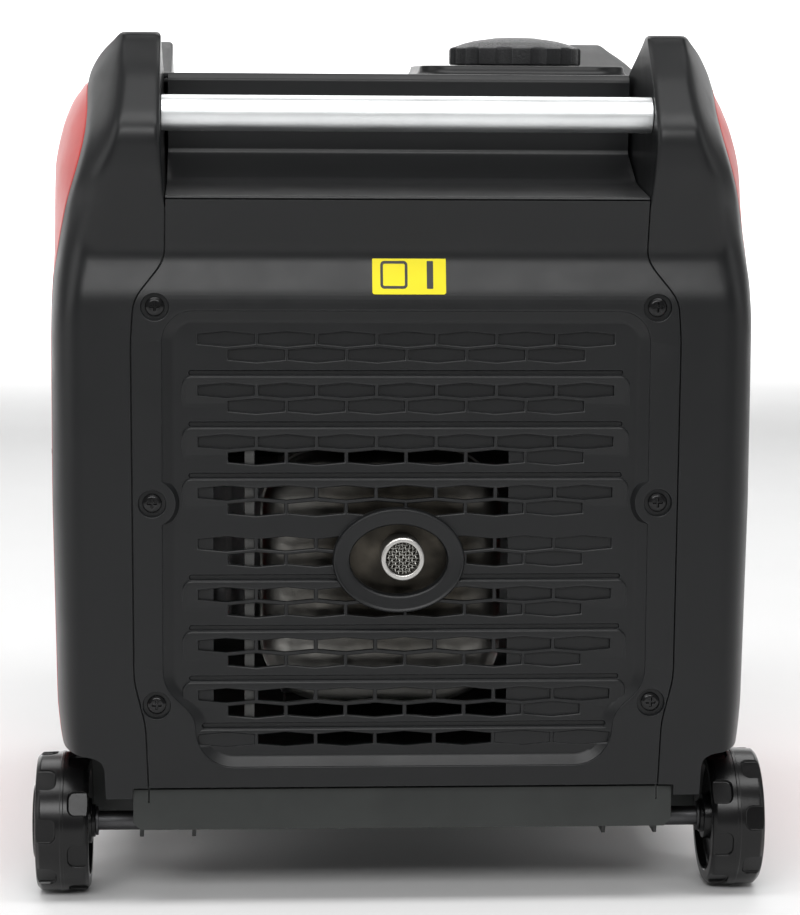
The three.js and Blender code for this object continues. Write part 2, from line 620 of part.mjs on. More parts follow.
function addRunningGear() {
  const end = WHEEL.outer - 6 - GAP;
  part('axle', rod('x', AXLE_RADIUS, -end, end, AXLE_Y, AXLE_Z), BRIGHT_STEEL);
  const rightWheel = wheel();
  const washerFace = WHEEL.inner - GAP;
  const washer = ring('x', AXLE_RADIUS + GAP, 9.5, washerFace - 1.6, washerFace, AXLE_Y, AXLE_Z);
  const cheekTop = SKIRT.top - SHEET - GAP;
  const [cheekIn, cheekOut] = [134, 167.9];
  const shape = polygon([
    [AXLE_Y - 20, cheekTop], [AXLE_Y + 20, cheekTop], [AXLE_Y + 9, 36.5], [AXLE_Y - 9, 36.5],
  ]);
  const cheeks = [cheekIn, cheekOut].map((x) => prism('x', shape, x - SHEET / 2, x + SHEET / 2));
  const web = box(cheekIn, cheekOut, AXLE_Y - 18, AXLE_Y + 18, cheekTop - SHEET, cheekTop);
  const bracket = cut(join(...cheeks, web), rod('x', AXLE_RADIUS + GAP, 100, 200, AXLE_Y, AXLE_Z));
  for (const [side, sx] of SIDES) {
    part(`${side}_wheel`, reflected(rightWheel, sx, 1), GLOSS_BLACK);
    part(`${side}_axle_washer`, reflected(washer, sx, 1), BRIGHT_STEEL);
    part(`${side}_axle_bracket`, reflected(bracket, sx, 1), BLACK_STEEL);
  }
}

function addFrontStand() {
  const top = SKIRT.top - SHEET - GAP;
  const footTop = 18;
  const y = 205;
  const bothSides = (right) => polygon([...right, ...right.map(([x, z]) => [-x, z]).reverse()]);
  const outside = bothSides([[165, top], [150, footTop], [110, footTop], [100, 50]]);
  const [insideTop, insideFoot] = [top - SHEET, footTop + SHEET];
  const inside = bothSides([[159, insideTop], [146, insideFoot], [114, insideFoot], [103, 50 + SHEET]]);
  const stand = cut(prism('y', outside, y - 15, y + 15), prism('y', inside, y - 16, y + 16));
  part('front_stand', stand, BLACK_STEEL);
  for (const [side, sx] of SIDES) {
    const foot = turned('z', [[0, 0], [14, 0], [17, footTop - GAP], [0, footTop - GAP]], sx * 130, y);
    part(`front_${side}_foot`, foot, RUBBER);
  }
}

// ---------------------------------------------------------------- exhaust

function addExhaust() {
  const back = -PANEL_Y + 104;
  const face = -PANEL_Y + 22;
  const body = prism('y', roundedRectangle(-13.5, 210, 155, 164, 40), face + 6, back - 6, 3);
  const pressed = prism('y', roundedRectangle(-13.5, 210, 139, 148, 34), face, back, 3);
  part('muffler', join(body, pressed), MUFFLER_STEEL);
  const { x, z, outer, bore } = OUTLET;
  const mouth = -PANEL_Y + 1;
  const pipe = [
    [bore, mouth], [outer - 1, mouth], [outer, mouth + 1.5],
    [outer, face - GAP], [bore, face - GAP], [bore, mouth],
  ];
  part('exhaust_outlet', turned('y', pipe, x, z), BRIGHT_STEEL);
  part('spark_arrestor_screen', rod('y', bore - GAP, mouth + 2, mouth + 5, x, z), BRIGHT_STEEL);
  const bracketY = -PANEL_Y + FIELD.depth + WALL + GAP;
  const [bracketX0, bracketX1] = [-101.5, -95];
  const post = box(bracketX0, bracketX1, bracketY, bracketY + SHEET, 122, 298);
  const foot = box(bracketX0, bracketX1, bracketY, bracketY + 24, 122, 122 + SHEET);
  part('muffler_bracket', join(post, foot), BRIGHT_STEEL);
}

// ---------------------------------------------------------------- engine and alternator

function addEngine() {
  const cradleTop = 100;
  const [x0, x1, y0, y1] = [-75, 45, -88, 72];
  const crankcase = prism('x', roundedRectangle((y0 + y1) / 2, 177.5, y1 - y0, 155, 26), x0, x1);
  const crankBore = rod('x', CRANK.radius + GAP, -60, 60, 0, CRANK.z);
  part('engine_block', cut(crankcase, crankBore), CAST_ALUMINIUM);
  SIDES.forEach(([side, sx]) => {
    const centre = -15 + sx * 45;
    const mount = box(centre - 12, centre + 12, -70, 55, SKIRT.top + GAP, cradleTop - GAP);
    part(`${side}_engine_mount`, mount, RUBBER);
  });

  const [low, high] = [255 + GAP, 370];
  const fins = Array.from({ length: 8 }, (_, i) => box(-68, 38, -78, 46, 272 + 12 * i, 276 + 12 * i));
  part('engine_cylinder', join(rod('z', 40, low, high, -15, -16, 10), ...fins), CAST_ALUMINIUM);
  const rocker = roundedRectangle(-15, -16, 84, 96, 14);
  part('rocker_cover', prism('z', rocker, high + GAP, 404), BLACK_STEEL);
  part('crankshaft', rod('x', CRANK.radius, -55, 100, 0, CRANK.z), BRIGHT_STEEL);

  part('stator', ring('x', 26, 58, x1 + GAP, 75, 0, CRANK.z, 20), BRASS);
  const eye = CRANK.radius + GAP;
  const rotor = turned('x', [
    [eye, 80], [61, 80], [61, 49], [78, 49], [78, 88], [eye, 88], [eye, 80],
  ], 0, CRANK.z, 20);
  const blades = Array.from({ length: 8 }, (_, i) => {
    const geometry = new THREE.BoxGeometry(14, 3, 38);
    geometry.translate(94, 0, 54);
    geometry.rotateX((Math.PI * i) / 4);
    geometry.translate(0, 0, CRANK.z);
    return solid(geometry);
  });
  part('flywheel_rotor', join(rotor, ...blades), CAST_ALUMINIUM);
}

function addRecoilStarter() {
  const housing = turned('x', [
    [83, 104], [86, 104], [86, 130], [60, 150], [0, 150], [0, 120],
    [6, 120], [6, 147], [58, 147], [83, 128.5], [83, 104],
  ], 0, CRANK.z, 20);
  const vents = Array.from({ length: 6 }, (_, i) => {
    const angle = (Math.PI * (i + 0.5)) / 3;
    return rod('x', 9, 140, 160, 42 * Math.cos(angle), CRANK.z + 42 * Math.sin(angle), 6);
  });
  part('recoil_housing', cut(housing, ...vents), BLACK_STEEL);
  const groove = [[6.3, 122], [45, 122], [40, 127], [45, 132], [6.3, 132], [6.3, 122]];
  part('recoil_pulley', turned('x', groove, 0, CRANK.z, 20), GREY_PLASTIC);
  const bar = prism('x', roundedRectangle(GRIP.y, GRIP.z, 74, 15, 7), HALF_WIDTH + GAP, 235);
  const stem = rod('x', 6, 195, HALF_WIDTH + 1, GRIP.y, GRIP.z, 16);
  part('recoil_grip', join(bar, stem), BLACK_PLASTIC);
}

function addIntake() {
  const filter = prism('x', roundedRectangle(-5, 300, 120, 130, 12), -212, -131);
  const hollow = prism('x', roundedRectangle(-5, 300, 114, 124, 9), -215, -134);
  part('air_filter_box', cut(filter, hollow), BLACK_PLASTIC);
  const foam = prism('x', roundedRectangle(-5, 300, 114 - 2 * GAP, 124 - 2 * GAP, 9), -211, -134 - GAP);
  part('air_filter_element', foam, FOAM);
  const body = box(-130.7, -90, -34, 12, 285, 335);
  const throat = rod('x', 14, -95, -70, -11, 310, 20);
  part('carburettor', join(body, throat), CAST_ALUMINIUM);
}

function addElectrics() {
  const [y0, y1] = [170, 225];
  const fins = Array.from({ length: 11 }, (_, i) => {
    const x = -158 + 15 * i;
    return box(x, x + 4, y0 - 12, y0 + 1, 104, 226);
  });
  part('inverter_module', join(box(-160, 0, y0, y1, 100, 230), ...fins), CAST_ALUMINIUM);
  const terminals = [78, 142].map((x) => box(x - 7, x + 7, 180, 194, 175, 183));
  part('battery', join(box(60, 160, 155, 225, SKIRT.top + GAP, 176), ...terminals), GREY_PLASTIC);
}

// ---------------------------------------------------------------- front panel and its controls

// Where each control sits on the front panel, seen from outside: +x is the machine's right.
const CONTROLS = {
  dial: { x: 95, z: 340 },
  start: { x: 40, z: 340 },
  rocker: { x: -8, z: 340 },
  breaker: { x: -55, z: 340 },
  duplex: { x: -80, z: 225 },
  locking: { x: 30, z: 225 },
  ground: { x: 120, z: 150 },
};

function addFrontPanel() {
  const face = PANEL_Y;
  const c = CONTROLS;
  const through = (shape) => prism('y', shape, face - 30, face + 30);
  const hole = (radius, place) => rod('y', radius, face - 30, face + 30, place.x, place.z);
  const openings = [
    hole(6.4, c.dial), hole(8.4, c.start), hole(6.4, c.breaker), hole(2.9, c.ground), hole(24.4, c.locking),
    through(roundedRectangle(c.rocker.x, c.rocker.z, 14.6, 22.6, 1)),
    through(roundedRectangle(c.duplex.x, c.duplex.z, 38.6, 72.6, 4)),
  ];
  part('front_panel', cut(reflected(panelSkin(), 1, -1), ...openings), BLACK_PLASTIC);
}

/** An outlet face with a flange, and slots of [x, z, width, height] for the blades. */
function outlet(shape, flange, slots, curveSegments) {
  const body = prism('y', shape, PANEL_Y - 26, PANEL_Y + 1, curveSegments);
  const rim = prism('y', flange, PANEL_Y + GAP, PANEL_Y + 2.5, curveSegments);
  const blades = slots.map(([x, z, width, height]) => {
    return box(x - width / 2, x + width / 2, PANEL_Y - 12, PANEL_Y + 5, z - height / 2, z + height / 2);
  });
  return cut(join(body, rim), ...blades);
}

function addControls() {
  const face = PANEL_Y + GAP;
  const { dial, start, rocker, breaker, duplex, locking, ground } = CONTROLS;

  const knob = rod('y', 22, face, face + 4, dial.x, dial.z, 24);
  const bar = box(dial.x - 5, dial.x + 5, face + 3, face + 13, dial.z - 20, dial.z + 20);
  const spindle = rod('y', 6, PANEL_Y - 22, face + 1, dial.x, dial.z, 20);
  part('run_dial', join(knob, bar, spindle), GREY_PLASTIC);

  part('start_button', rod('y', 8, PANEL_Y - 12, face + 4.5, start.x, start.z), RED_PLASTIC);
  part('ac_breaker_button', rod('y', 6, PANEL_Y - 12, face + 5, breaker.x, breaker.z, 20), GLOSS_BLACK);

  const [y, z] = [PANEL_Y - 2, rocker.z];
  const paddle = polygon([
    [y - 6, z - 8], [y + 2, z - 10.8], [y + 2.6, z], [y + 7.5, z + 9.5], [y - 6, z + 8],
  ]);
  part('economy_rocker', prism('x', paddle, rocker.x - 7, rocker.x + 7), GLOSS_BLACK);

  const sockets = [duplex.z - 18, duplex.z + 18].flatMap((middle) => [
    [duplex.x - 6.4, middle, 2, 9], [duplex.x + 6.4, middle, 2, 8], [duplex.x, middle - 10, 5, 5],
  ]);
  const duplexBody = roundedRectangle(duplex.x, duplex.z, 38, 72, 4);
  const duplexFlange = roundedRectangle(duplex.x, duplex.z, 52, 88, 6);
  part('duplex_outlet', outlet(duplexBody, duplexFlange, sockets, 2), GREY_PLASTIC);

  const lock = new THREE.Shape();
  lock.absarc(locking.x, locking.z, 24, 0, 2 * Math.PI);
  const lockFlange = new THREE.Shape();
  lockFlange.absarc(locking.x, locking.z, 31, 0, 2 * Math.PI);
  const lockSlots = [
    [locking.x - 11, locking.z, 2.5, 10],
    [locking.x + 11, locking.z, 2.5, 10],
    [locking.x, locking.z + 11, 9, 2.5],
  ];
  part('locking_outlet', outlet(lock, lockFlange, lockSlots, 8), BLACK_PLASTIC);

  const post = rod('y', 2.6, PANEL_Y - 12, face + 9, ground.x, ground.z, 12);
  const nut = rod('y', 6, face, face + 6, ground.x, ground.z, 6);
  part('ground_terminal', join(post, nut), BRASS);
}

addCornerCovers();
addSidePanels();
addServiceDoor();
addTopCover();
addFuelSystem();
addRearPanel();
addHandles();
addBaseTray();
addRunningGear();
addFrontStand();
addExhaust();
addEngine();
addRecoilStarter();
addIntake();
addElectrics();
addFrontPanel();
addControls();

export default generator;
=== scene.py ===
"""Looks of a closed, wheeled inverter generator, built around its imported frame.

Dimensions are in millimetres in the frame's axes: +Z up, the exhaust end faces -Y.
A depth is measured into the machine from the plane of an end panel.
"""
import json
import math

import bmesh
import bpy
from mathutils import Matrix, Vector

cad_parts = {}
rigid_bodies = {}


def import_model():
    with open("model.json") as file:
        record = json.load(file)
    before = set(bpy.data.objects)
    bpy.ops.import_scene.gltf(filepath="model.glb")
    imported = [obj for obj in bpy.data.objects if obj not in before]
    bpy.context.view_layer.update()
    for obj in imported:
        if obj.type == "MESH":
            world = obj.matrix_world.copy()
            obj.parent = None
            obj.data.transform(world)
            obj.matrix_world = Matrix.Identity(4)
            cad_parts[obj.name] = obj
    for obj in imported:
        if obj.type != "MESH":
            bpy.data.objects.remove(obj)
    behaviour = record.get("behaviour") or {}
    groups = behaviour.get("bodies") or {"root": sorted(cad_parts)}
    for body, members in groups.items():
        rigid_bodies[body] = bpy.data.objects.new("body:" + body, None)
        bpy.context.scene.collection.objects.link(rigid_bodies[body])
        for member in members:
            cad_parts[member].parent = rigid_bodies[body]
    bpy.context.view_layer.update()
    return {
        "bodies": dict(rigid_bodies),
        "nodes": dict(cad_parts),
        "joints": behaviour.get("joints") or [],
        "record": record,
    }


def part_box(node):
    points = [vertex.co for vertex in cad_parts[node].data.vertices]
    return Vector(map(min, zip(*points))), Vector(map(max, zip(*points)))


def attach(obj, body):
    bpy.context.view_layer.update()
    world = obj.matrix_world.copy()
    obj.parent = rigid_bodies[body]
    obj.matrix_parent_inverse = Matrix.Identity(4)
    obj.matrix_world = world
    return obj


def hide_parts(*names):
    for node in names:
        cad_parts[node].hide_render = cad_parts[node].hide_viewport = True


# ---- dimensions

MM = 0.001
WALL = 3.0  # thickness of the plastic
SHEET = 2.5  # thickness of the base tray's steel
GAP = 0.3  # between neighbouring pieces
PANEL_Y = 261.4  # of both end panels' planes
HALF_WIDTH = 225.0
EDGE_DEPTH = 45.0  # where a corner cover ends and the side panel begins
BULGE_DEPTH = 137.0  # where the side panel has reached its full width
DECK_TOP = 530.0
PANEL_TOP = 452.2
COVER_BOTTOM = 74.0
FIN_BOTTOM = 449.0  # above it a post is solid
POST_TOP = 555.0

# Outlines of a corner cover, as (height, value).
POST_FRONT = [  # depth of the face
    (74, 0), (392, 0), (419, 8), (452, -5), (470, -11.6), (491, -14.6), (500, -12), (532, 16.5), (555, 44),
]
POST_INNER = [  # x of the inner edge
    (74, 162), (121, 163.9), (150, 171.1), (365, 172.2), (390, 170.4), (414, 151.2), (452, 150.6),
    (470, 151.8), (491, 152.9), (555, 153.5),
]
# x where the flat face turns into the flank
POST_CREASE = [(74, 203), (400, 203), (417, 202), (469, 190), (488, 183), (510, 180), (555, 176)]
POST_EDGE = [  # x of the side edge
    (74, 210), (92, 216), (108, 219), (128, 221), (260, 223.4), (375, 223.3), (400, 222), (425, 217.8),
    (443, 214), (457, 210), (463, 207.8), (474, 204.4), (488, 201.2), (500, 200), (509, 200), (518, 200.9),
    (526, 200.5), (535, 197), (542, 192), (548, 186.2), (555, 176.5),
]
SIDE_DEPTH = [  # depth of the side edge
    (74, 45), (425, 45), (443, 38), (457, 27), (464, 22), (474, 20), (488, 27), (500, 42), (509, 56),
    (518, 70), (526, 79), (535, 79), (542, 72), (548, 58), (555, 44),
]
POST_FIN = [(449, 134), (529, 134), (543, 86.5), (555, 50)]  # depth of the post's back
POST_FULLNESS = [(74, 0.8), (380, 0.8), (470, 0.15), (555, 0.1)]  # 0 is a flat flank, 1 a full corner
FLANK_TURN = [(400, 0), (450, 1), (525, 1), (545, 0)]  # 0 is an even bend, 1 a turn close to the edge
RIM = (2.9, 14.0)  # how far in from a post's side edge, and before it, its flank turns
INNER_ROUNDING = [(449, 0.7), (458, 4.0)]  # radius along the inner edge

# What a rear cover loses over its wheel, as (x, height, radius).
WHEEL_ARCH = [
    (188, 60), (189.8, 93, 8), (191.8, 97.5, 5), (197, 100.3, 12), (205, 101.5, 25), (219, 104.5, 40),
    (240, 107), (240, 60),
]

# The side panel's x at its full width, as (height, x), and the ledge just above its top.
SIDE_FULL = [
    (82, 214), (92, 219), (108, 222.6), (128, 224.4), (150, 225), (450, 225), (472, 224.3), (485, 221.8),
    (498, 218.4), (512, 212.6), (523, 203.5),
]
LEDGE = SIDE_FULL[-1][0] + 2 * GAP

# The rear panel's recessed field and what is in it.
FIELD = {"half": 152.5, "top": 383, "straight_end": 157, "foot_half": 132, "foot_top": 130, "bottom": 94}
FIELD_CORNER = {"top": 19, "foot": 24}
FIELD_DEPTH = 4.5
RIBS = {"first": 342.4, "pitch": 32.3, "half": 140.5, "rise": 1.5, "fade": 20.0}
LAST_RIB = {"z": 118.2, "half": 132.4}
# A slot's upper and lower are how far below its rib the two rows of slots lie.
SLOT = {"pitch": 37.6, "width": 35.1, "middle": 9.2, "end": 5.9, "upper": 9.4, "lower": 19.3, "last": 111}
SLOT_FLOOR = 6.9
WINDOW = {"left": -121, "right": 65, "low": 120, "high": 295}
OUTLET = {"x": -1.9, "z": 226.7, "outer": 13.8, "bore": 10.6}
SCREEN = {"pitch": 2.1, "wire": 0.42, "crimp": 0.45, "bend": 0.35, "dome": 1.4}
BEZEL = {"x": -4.5, "z": 226, "outer_x": 41.7, "outer_z": 33.4, "inner_x": 30.6, "inner_z": 22}
REAR_SCREWS = [(157, 385.7), (159.1, 262.4), (156.7, 134)]
SCREW = {"boss": 9.9, "recess": 8.6, "bore": 2.6, "depth": 3.5, "pad": 14.6}
LABEL = {"x": 1, "z": 405.6, "width": 46, "height": 24}

TUBE = {"radius": 11.1, "bore": 9.3}
# A wheel's inner, side, rim and outer are x of its hub's inner end, its tread's two sides and its face.
WHEEL = {"radius": 45.5, "inner": 198.1, "side": 201.2, "rim": 235.2, "outer": 238.4, "depth": 58, "lobes": 8}
WHEEL_TURN = {"left": 28.0, "right": 34.0}  # how far each wheel's first inner pocket is above the rear
POCKET = {"degrees": 20, "reach": 12.8}
AXLE = {"radius": 6.25, "bore": 6.55, "washer": 9.5}
SKIRT = {"half": 172, "top": 78.6, "bottom": 51.9, "depth": 6.5}
FLOOR_TOP = 80.4
GUARD = {"near": 164, "far": 208, "bottom": 34, "top": 112}  # the plates behind the wheels
CAP = {"x": 89, "y": -19, "radius": 46, "base": 537, "top": 556, "lobes": 12}
DOOR = {"y0": -105, "y1": 85, "z0": 150, "z1": 400}
KNOB = {"inset": 18, "stem": 4.3, "head": 13}
GRIP = {"y": -60, "z": 262}
# Openings of the front panel, as (x, z, radius) and (x, z, width, height, radius).
CONTROL_HOLES = [(95, 340, 6.4), (40, 340, 8.4), (-55, 340, 6.4), (120, 150, 2.9), (30, 225, 24.4)]
CONTROL_WINDOWS = [(-8, 340, 14.6, 22.6, 1), (-80, 225, 38.6, 72.6, 4)]

AXLE_Y = WHEEL["depth"] - PANEL_Y
AXLE_Z = WHEEL["radius"]
SIDES = {"left": -1, "right": 1}
ENDS = {"rear": -1, "front": 1}

# The studio, in metres, and the camera, in millimetres and degrees.
STAGE_HALF = 8
STAGE_PROFILE = [(-6, 0), (5, 0), (5.6, 0.08), (6.1, 0.35), (6.4, 0.8), (6.5, 1.4), (6.5, 7)]
WORLD_STRENGTH = 0.2
AIM = (0, 0, 0.3)
LAMPS = {  # place, target, size, power in watts
    "top": ((0, -1.0, 2.5), AIM, (3.0, 0.8), 42),
    "back": ((0, 1.5, 2.5), AIM, (3.0, 1.2), 40),
    "key": ((-0.3, -2.7, 1.8), AIM, (2.4, 0.8), 46),
    "left": ((-2.4, -0.4, 1.2), AIM, (1.4, 2.0), 13),
    "right": ((2.4, -0.4, 1.2), AIM, (1.4, 2.0), 8),
    "backdrop": ((0, 4.0, 2.4), (0, 6.4, 0.7), (7, 1.2), 280),
}
CAMERA = {"place": (-112.8, -2059.4, 521.8), "yaw": 3.457, "pitch": 7.288, "roll": 0.371, "lens": 114.1}

# ---- outlines


def along(outline, z):
    """Value of a (height, value) outline at a height, by straight lines between its points."""
    if z <= outline[0][0]:
        return outline[0][1]
    for (z0, v0), (z1, v1) in zip(outline, outline[1:]):
        if z <= z1:
            return v0 + (v1 - v0) * (z - z0) / (z1 - z0)
    return outline[-1][1]


def soft(outline, z, reach=6.0):
    """The outline's mean over a short span of heights, which rounds off its bends."""
    samples = 9
    steps = [2 * i / (samples - 1) - 1 for i in range(samples)]
    return sum(along(outline, z + reach * step) for step in steps) / samples


def levels(low, high, step):
    """Heights from low to high, at most one step apart."""
    count = max(1, math.ceil((high - low) / step))
    return [low + (high - low) * i / count for i in range(count + 1)]


def arc(centre, start, end, steps):
    """Points of a circular arc about a centre, from one point to another the short way round."""
    a, b = start - centre, end - centre
    turn = a.angle(b)
    weights = [(math.sin((1 - i / steps) * turn), math.sin(i / steps * turn)) for i in range(steps + 1)]
    return [centre + (a * p + b * q) / math.sin(turn) for p, q in weights]


def rounded(corners, steps=4):
    """A closed outline through (u, v) or (u, v, radius) corners, with the corners rounded off."""
    points = []
    for i, (u, v, *radius) in enumerate(corners):
        corner = Vector((u, v))
        if not radius:
            points.append(tuple(corner))
            continue
        before = Vector(corners[i - 1][:2]) - corner
        after = Vector(corners[(i + 1) % len(corners)][:2]) - corner
        half = before.angle(after) / 2
        reach = min(radius[0] / math.tan(half), before.length * 0.49, after.length * 0.49)
        before.normalize()
        after.normalize()
        centre = corner + (before + after).normalized() * reach / math.cos(half)
        points += [tuple(p) for p in arc(centre, corner + before * reach, corner + after * reach, steps)]
    return points


def rectangle(u, v, width, height, radius, steps=4):
    """A rounded rectangle centred at (u, v)."""
    corners = [(-1, -1), (1, -1), (1, 1), (-1, 1)]
    return rounded([(u + a * width / 2, v + b * height / 2, radius) for a, b in corners], steps)


def ellipse(u, v, radius_u, radius_v, sides=72):
    turns = [2 * math.pi * i / sides for i in range(sides)]
    return [(u + radius_u * math.cos(a), v + radius_v * math.sin(a)) for a in turns]


def circle(u, v, radius, sides=48):
    return ellipse(u, v, radius, radius, sides)


def quarter(u, v, radius, start):
    """A quarter circle about (u, v), from a starting angle."""
    steps = 8
    turns = [start + math.pi / 2 * i / steps for i in range(steps + 1)]
    return [(u + radius * math.cos(a), v + radius * math.sin(a)) for a in turns]


def bend(a, b, c, d, steps):
    """Points of a cubic curve, without its start."""
    a, b, c, d = Vector(a), Vector(b), Vector(c), Vector(d)
    points = []
    for i in range(1, steps + 1):
        t = i / steps
        point = a * (1 - t) ** 3 + b * 3 * t * (1 - t) ** 2 + c * 3 * t * t * (1 - t) + d * t ** 3
        points.append(tuple(point))
    return points


def grown(outline, margin):
    """A closed outline moved outward by a margin, or inward by a negative one."""
    if not margin:
        return outline
    area = sum(u0 * v1 - u1 * v0 for (u0, v0), (u1, v1) in zip(outline, outline[1:] + outline[:1]))
    sense = 1 if area > 0 else -1
    moved = []
    for i, here in enumerate(outline):
        before = Vector(here) - Vector(outline[i - 1])
        after = Vector(outline[(i + 1) % len(outline)]) - Vector(here)
        n0 = Vector((before.y, -before.x)).normalized() * sense
        n1 = Vector((after.y, -after.x)).normalized() * sense
        miter = n0 + n1
        length = max(miter.length_squared / 2, 0.3)
        moved.append(tuple(Vector(here) + miter * margin / length))
    return moved


def between(start, end, count):
    """That many even steps of a straight line, from its start to just before its end."""
    return [Vector(start).lerp(Vector(end), i / count) for i in range(count)]


def beside(path, distance):
    """An open path moved sideways, to its left."""
    moved = []
    for i, here in enumerate(path):
        ahead = path[min(i + 1, len(path) - 1)] - path[max(i - 1, 0)]
        moved.append(here + Vector((-ahead.y, ahead.x)).normalized() * distance)
    return moved


def shrunk(ring, inset):
    """A ring squeezed toward its middle by the inset on all four sides."""
    spans = [(min(values), max(values)) for values in zip(*ring)]
    middle = [(low + high) / 2 for low, high in spans]
    scale = [1 - 2 * inset / (high - low) for low, high in spans]
    return [tuple(m + (value - m) * s for value, m, s in zip(p, middle, scale)) for p in ring]


def relaxed(path, passes):
    """An open path with its bends smoothed and its ends kept."""
    points = list(path)
    for _ in range(passes):
        middle = [(a + b * 2 + c) / 4 for a, b, c in zip(points, points[1:], points[2:])]
        points = [points[0], *middle, points[-1]]
    return points


# ---- meshes

MERGE = 0.002  # points closer than this are one


def place(axis, u, v, t):
    """A drawn point at a position along its axis: x draws in (Y, Z), y in (X, Z), z in (X, Y)."""
    return {"x": (t, u, v), "y": (u, t, v), "z": (u, v, t)}[axis]


def tidy_mesh(mesh):
    """Merges doubled points and turns all faces outward."""
    work = bmesh.new()
    work.from_mesh(mesh)
    bmesh.ops.remove_doubles(work, verts=work.verts, dist=MERGE * MM)
    bmesh.ops.dissolve_degenerate(work, edges=work.edges, dist=MERGE / 2 * MM)
    bmesh.ops.recalc_face_normals(work, faces=work.faces)
    work.to_mesh(mesh)
    work.free()


def in_scene(name, data):
    """A new object in the scene, with a mesh, lamp or camera as its data."""
    item = bpy.data.objects.new(name, data)
    bpy.context.scene.collection.objects.link(item)
    return item


def new_piece(name, points, faces):
    """A piece with points in millimetres."""
    mesh = bpy.data.meshes.new(name)
    mesh.from_pydata([Vector(p) * MM for p in points], [], faces)
    tidy_mesh(mesh)
    return in_scene(name, mesh)


def loft(name, rings, around=False):
    """A closed skin through rings of points, with flat ends, or joined end to end if around."""
    count = len(rings[0])
    total = len(rings)
    faces = []
    for level in range(total if around else total - 1):
        a, b = level * count, (level + 1) % total * count
        for i in range(count):
            j = (i + 1) % count
            faces.append((a + i, a + j, b + j, b + i))
    if not around:
        faces += [tuple(range(count)), tuple(range((total - 1) * count, total * count))]
    return new_piece(name, [p for ring in rings for p in ring], faces)


def edged(low, high, radius, steps=3):
    """Stations for a slab with rounded edges, as (position, margin)."""
    turns = [math.pi / 2 * i / steps for i in range(steps + 1)]
    start = [(low + radius * (1 - math.sin(a)), -radius * (1 - math.cos(a))) for a in reversed(turns)]
    end = [(high - radius * (1 - math.sin(a)), -radius * (1 - math.cos(a))) for a in turns]
    return start + end


def slab(name, axis, outline, stations):
    """A solid with the outline, grown by each station's margin, at each station's position."""
    return loft(name, [[place(axis, u, v, t) for u, v in grown(outline, m)] for t, m in stations])


def rear_ring(outline, depth):
    """An (x, z) outline at a depth from the rear panel's plane."""
    return [(x, depth - PANEL_Y, z) for x, z in outline]


def rear_slab(name, outline, stations):
    """A slab drawn in (X, Z), with its stations' positions as depths from the rear panel's plane."""
    return loft(name, [rear_ring(grown(outline, m), depth) for depth, m in stations])


def box_of(node):
    """A CAD node's lowest and highest corner."""
    return [[value / MM for value in corner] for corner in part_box(node)]


def turned(name, axis, profile, u, v, sides=64):
    """A closed profile of (radius, position) points turned about the axis through (u, v)."""
    rings = []
    for i in range(sides):
        a = 2 * math.pi * i / sides
        rings.append([place(axis, u + r * math.cos(a), v + r * math.sin(a), t) for r, t in profile])
    return loft(name, rings, around=True)


def block(name, low, high, radius=0.6):
    """A box between two corners with rounded edges."""
    (x0, y0, z0), (x1, y1, z1) = low, high
    outline = rectangle((x0 + x1) / 2, (y0 + y1) / 2, x1 - x0, y1 - y0, radius * 1.3, 2)
    return slab(name, "z", outline, edged(z0, z1, radius, 2))


def joined(name, pieces):
    """Several pieces as one object."""
    work = bmesh.new()
    for piece in pieces:
        work.from_mesh(piece.data)
    mesh = bpy.data.meshes.new(name)
    work.to_mesh(mesh)
    work.free()
    for piece in pieces:
        bpy.data.objects.remove(piece)
    return in_scene(name, mesh)


def combine(piece, others, operation):
    """Adds or cuts other pieces, which are used up."""
    for other in others:
        modify(piece, "BOOLEAN", operation=operation, solver="EXACT", object=other)
        depsgraph = bpy.context.evaluated_depsgraph_get()
        mesh = bpy.data.meshes.new_from_object(piece.evaluated_get(depsgraph), depsgraph=depsgraph)
        piece.modifiers.clear()
        piece.data = mesh
        bpy.data.objects.remove(other)
    tidy_mesh(piece.data)
    return piece


def add(piece, *others):
    return combine(piece, others, "UNION")


def cut(piece, *others):
    return combine(piece, others, "DIFFERENCE")


def mirrored(piece, name, sx, sy):
    """A copy with its x and y multiplied by sx and sy, each 1 or -1."""
    mesh = piece.data.copy()
    mesh.transform(Matrix.Diagonal((sx, sy, 1, 1)))
    if sx * sy < 0:
        mesh.flip_normals()
    return in_scene(name, mesh)


# ---- materials

WEAR_WIDTH = 0.7  # of the lighter band along a sharp edge


